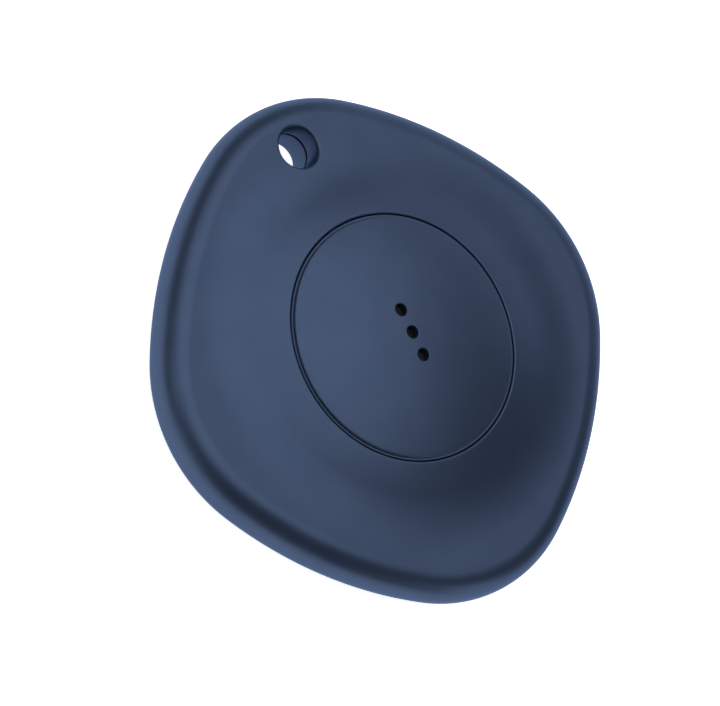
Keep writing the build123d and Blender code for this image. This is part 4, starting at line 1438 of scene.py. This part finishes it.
class TAG_OT_board(bpy.types.Operator):
    """Circuit board with its ring of vias and its test pads, and the leaf contacts"""

    bl_idname = "tag.board"
    bl_label = "Circuit board"
    bl_options = {"REGISTER", "UNDO"}

    def execute(self, context):
        s = case_sizes()
        dress("board", "circuit_board")
        dress("gold", "positive_contact", "negative_contact")
        rise = 0.02         # the plating stands this far over the mask
        bore, land, top_bore, top_land = 0.12, 0.3, 0.15, 0.27
        via = hoop_mesh("via", [(bore, 0), (land, 0), (top_land, rise), (top_bore, rise)], 14)
        ring = ring_tree()
        for name, height, tipped in (("front_vias", s.board_top, 0), ("rear_vias", s.board_bottom, pi)):
            model = via.copy()
            model.transform(Matrix.Translation((0, 0, height * MM)) @ Matrix.Rotation(tipped, 4, "X"))
            vias = grown(
                name, ring, model, Count=36, Radius=s.inner.via_ring * MM, First_Turn=radians(5),
                Finish=finish("gold"),
            )
            new_piece(name, vias, "front_case", "gold", "contact_gold")
        count, pitch, row_y, pad_radius = 5, s.inner.pad_pitch, -7.4, 0.45
        pad = turned_mesh("pad", [(pad_radius, 0), (pad_radius, -rise), (pad_radius - 0.03, -rise * 1.5)], 24)
        pad.transform(Matrix.Translation((0, 0, s.board_bottom * MM)))
        first = (-pitch * (count - 1) / 2 * MM, row_y * MM, 0)
        place = {"Count": count, "First": first, "Step": (pitch * MM, 0, 0)}
        pads = grown("test_pads", row_tree(), pad, Finish=finish("gold"), **place)
        new_piece("test_pads", pads, "front_case", "gold", "contact_gold")
        return {"FINISHED"}


class TAG_OT_board_screws(bpy.types.Operator):
    """Screws that hold the board to the front shell"""

    bl_idname = "tag.board_screws"
    bl_label = "Board screws"
    bl_options = {"REGISTER", "UNDO"}

    def execute(self, context):
        s = case_sizes()
        place = {"Count": len(SCREW_TURNS), "Radius": s.inner.screw_ring * MM}
        place["First_Turn"] = radians(SCREW_TURNS[0])
        screws = grown("board_fixings", ring_tree(), screw_mesh(s), Finish=finish("screw"), **place)
        new_piece("board_fixings", screws, "front_case", "screw", "screw_steel", "board_screws")
        return {"FINISHED"}


class TAG_OT_chips(bpy.types.Operator):
    """Chips with their rows of pads, inductor and antenna"""

    bl_idname = "tag.chips"
    bl_label = "Chips"
    bl_options = {"REGISTER", "UNDO"}

    def execute(self, context):
        s = case_sizes()
        chip("bluetooth_chip", 8, s.inner.chip_pitch)
        chip("buzzer_driver_chip", 5, s.inner.chip_pitch)
        capped_row("boost_inductor", "ferrite", "ferrite", 0.12)
        capped_row("chip_antenna", "antenna", "antenna_ceramic", 0.05)
        return {"FINISHED"}


class TAG_OT_small_parts(bpy.types.Operator):
    """Capacitors, resistors and crystals"""

    bl_idname = "tag.small_parts"
    bl_label = "Small parts"
    bl_options = {"REGISTER", "UNDO"}

    def execute(self, context):
        s = case_sizes()
        capped_row("capacitors", "capacitor", "capacitor_ceramic", 0.05, 5, s.inner.part_pitch)
        capped_row("resistors", "resistor", "resistor_film", 0.03, 4, s.inner.part_pitch)
        dress("can", "crystals")
        return {"FINISHED"}


class TAG_OT_stage(bpy.types.Operator):
    """Camera, lights and floor"""

    bl_idname = "tag.stage"
    bl_label = "Stage"
    bl_options = {"REGISTER", "UNDO"}

    def execute(self, context):
        s = case_sizes()
        scene = context.scene
        t = scene.tag_stage
        back = Vector(
            (cos(t.elevation) * cos(t.azimuth), cos(t.elevation) * sin(t.azimuth), sin(t.elevation))
        )
        level = Vector((0, 0, 1)).cross(back).normalized()
        over = back.cross(level)
        right = level * cos(t.roll) + over * sin(t.roll)
        up = over * cos(t.roll) - level * sin(t.roll)
        middle = Vector((0, 0, (s.rim_top + s.rim_bottom) / 2 * MM))
        aim = middle - right * t.slide_right - up * t.slide_up
        lens = bpy.data.cameras.new("camera")
        lens.lens = t.lens
        lens.clip_start = 0.01
        camera = bpy.data.objects.new("camera", lens)
        turned = Matrix((right, up, back)).transposed().to_4x4()
        camera.matrix_world = Matrix.Translation(aim + back * t.distance) @ turned
        scene.collection.objects.link(camera)
        scene.camera = camera

        reach = t.floor_half
        corners = ((-reach, -reach), (reach, -reach), (reach, reach), (-reach, reach))
        points = [(x, y, z) for z in (-t.floor_drop, t.floor_edge) for x, y in corners]
        sides = [(k, k + 4, (k + 1) % 4 + 4, (k + 1) % 4) for k in range(4)]
        mesh = bpy.data.meshes.new("floor")
        mesh.from_pydata(points, [], [(0, 1, 2, 3), *sides])
        mesh.materials.append(finish("floor"))
        floor = bpy.data.objects.new("floor", mesh)
        scene.collection.objects.link(floor)

        world = bpy.data.worlds.new("studio")
        scene.world = world
        world.use_nodes = True
        world.node_tree.nodes["Background"].inputs["Color"].default_value = (1, 1, 1, 1)
        world.node_tree.nodes["Background"].inputs["Strength"].default_value = t.room_light
        # Name, direction round the tag and tip from overhead in degrees, width and height in metres, watts.
        lights = [
            ("overhead_softbox", 60, 14, 1.0, 1.0, 4.6),
            ("right_strip", 15, 72, 0.8, 0.34, 0.75),
            ("left_card", 144, 48, 0.34, 0.34, 0.45),
            ("near_card", 180, 74, 0.34, 0.34, 0.25),
            ("low_card", 288, 74, 0.34, 0.34, 0.6),
        ]
        for name, turn, tip, width, height, power in lights:
            light = bpy.data.lights.new(name, "AREA")
            light.shape = "RECTANGLE"
            light.size = width
            light.size_y = height
            light.energy = power * t.light_level
            tilt, round_turn = radians(tip), radians(turn)
            way = Vector((sin(tilt) * cos(round_turn), sin(tilt) * sin(round_turn), cos(tilt)))
            lamp = bpy.data.objects.new(name, light)
            facing = way.to_track_quat("Z", "Y").to_matrix().to_4x4()
            lamp.matrix_world = Matrix.Translation(middle + way * t.light_distance) @ facing
            scene.collection.objects.link(lamp)
        scene.view_settings.view_transform = "Standard"
        return {"FINISHED"}


class TAG_PT_panel(bpy.types.Panel):
    """Lists the tag's pieces and their sizes."""

    bl_idname = "TAG_PT_panel"
    bl_label = "Tracker tag"
    bl_space_type = "VIEW_3D"
    bl_region_type = "UI"
    bl_category = "Tracker tag"

    def draw(self, context):
        for group in GROUPS:
            settings = getattr(context.scene, group)
            for key in type(settings).__annotations__:
                self.layout.prop(settings, key)
        for entry in OPERATORS:
            self.layout.operator(entry.bl_idname)


GROUPS = {
    "tag_case": TagCaseSizes,
    "tag_button": TagButtonSizes,
    "tag_inside": TagInsideSizes,
    "tag_colours": TagColours,
    "tag_stage": TagStage,
}
OPERATORS = [
    TAG_OT_stage, TAG_OT_front_shell, TAG_OT_rear_shell, TAG_OT_button, TAG_OT_sound_mesh, TAG_OT_buzzer,
    TAG_OT_return_ring, TAG_OT_switch, TAG_OT_coin_cell, TAG_OT_soft_parts, TAG_OT_board, TAG_OT_board_screws,
    TAG_OT_chips, TAG_OT_small_parts,
]


def register():
    for name, group in GROUPS.items():
        bpy.utils.register_class(group)
        setattr(bpy.types.Scene, name, bpy.props.PointerProperty(type=group))
    for entry in [*OPERATORS, TAG_PT_panel]:
        bpy.utils.register_class(entry)


def unregister():
    for entry in [TAG_PT_panel, *reversed(OPERATORS)]:
        bpy.utils.unregister_class(entry)
    for name, group in GROUPS.items():
        delattr(bpy.types.Scene, name)
        bpy.utils.unregister_class(group)


def main():
    """Builds the whole tag."""
    register()
    for entry in OPERATORS:
        family, action = entry.bl_idname.split(".")
        getattr(getattr(bpy.ops, family), action)()


if __name__ == "__main__":
    main()
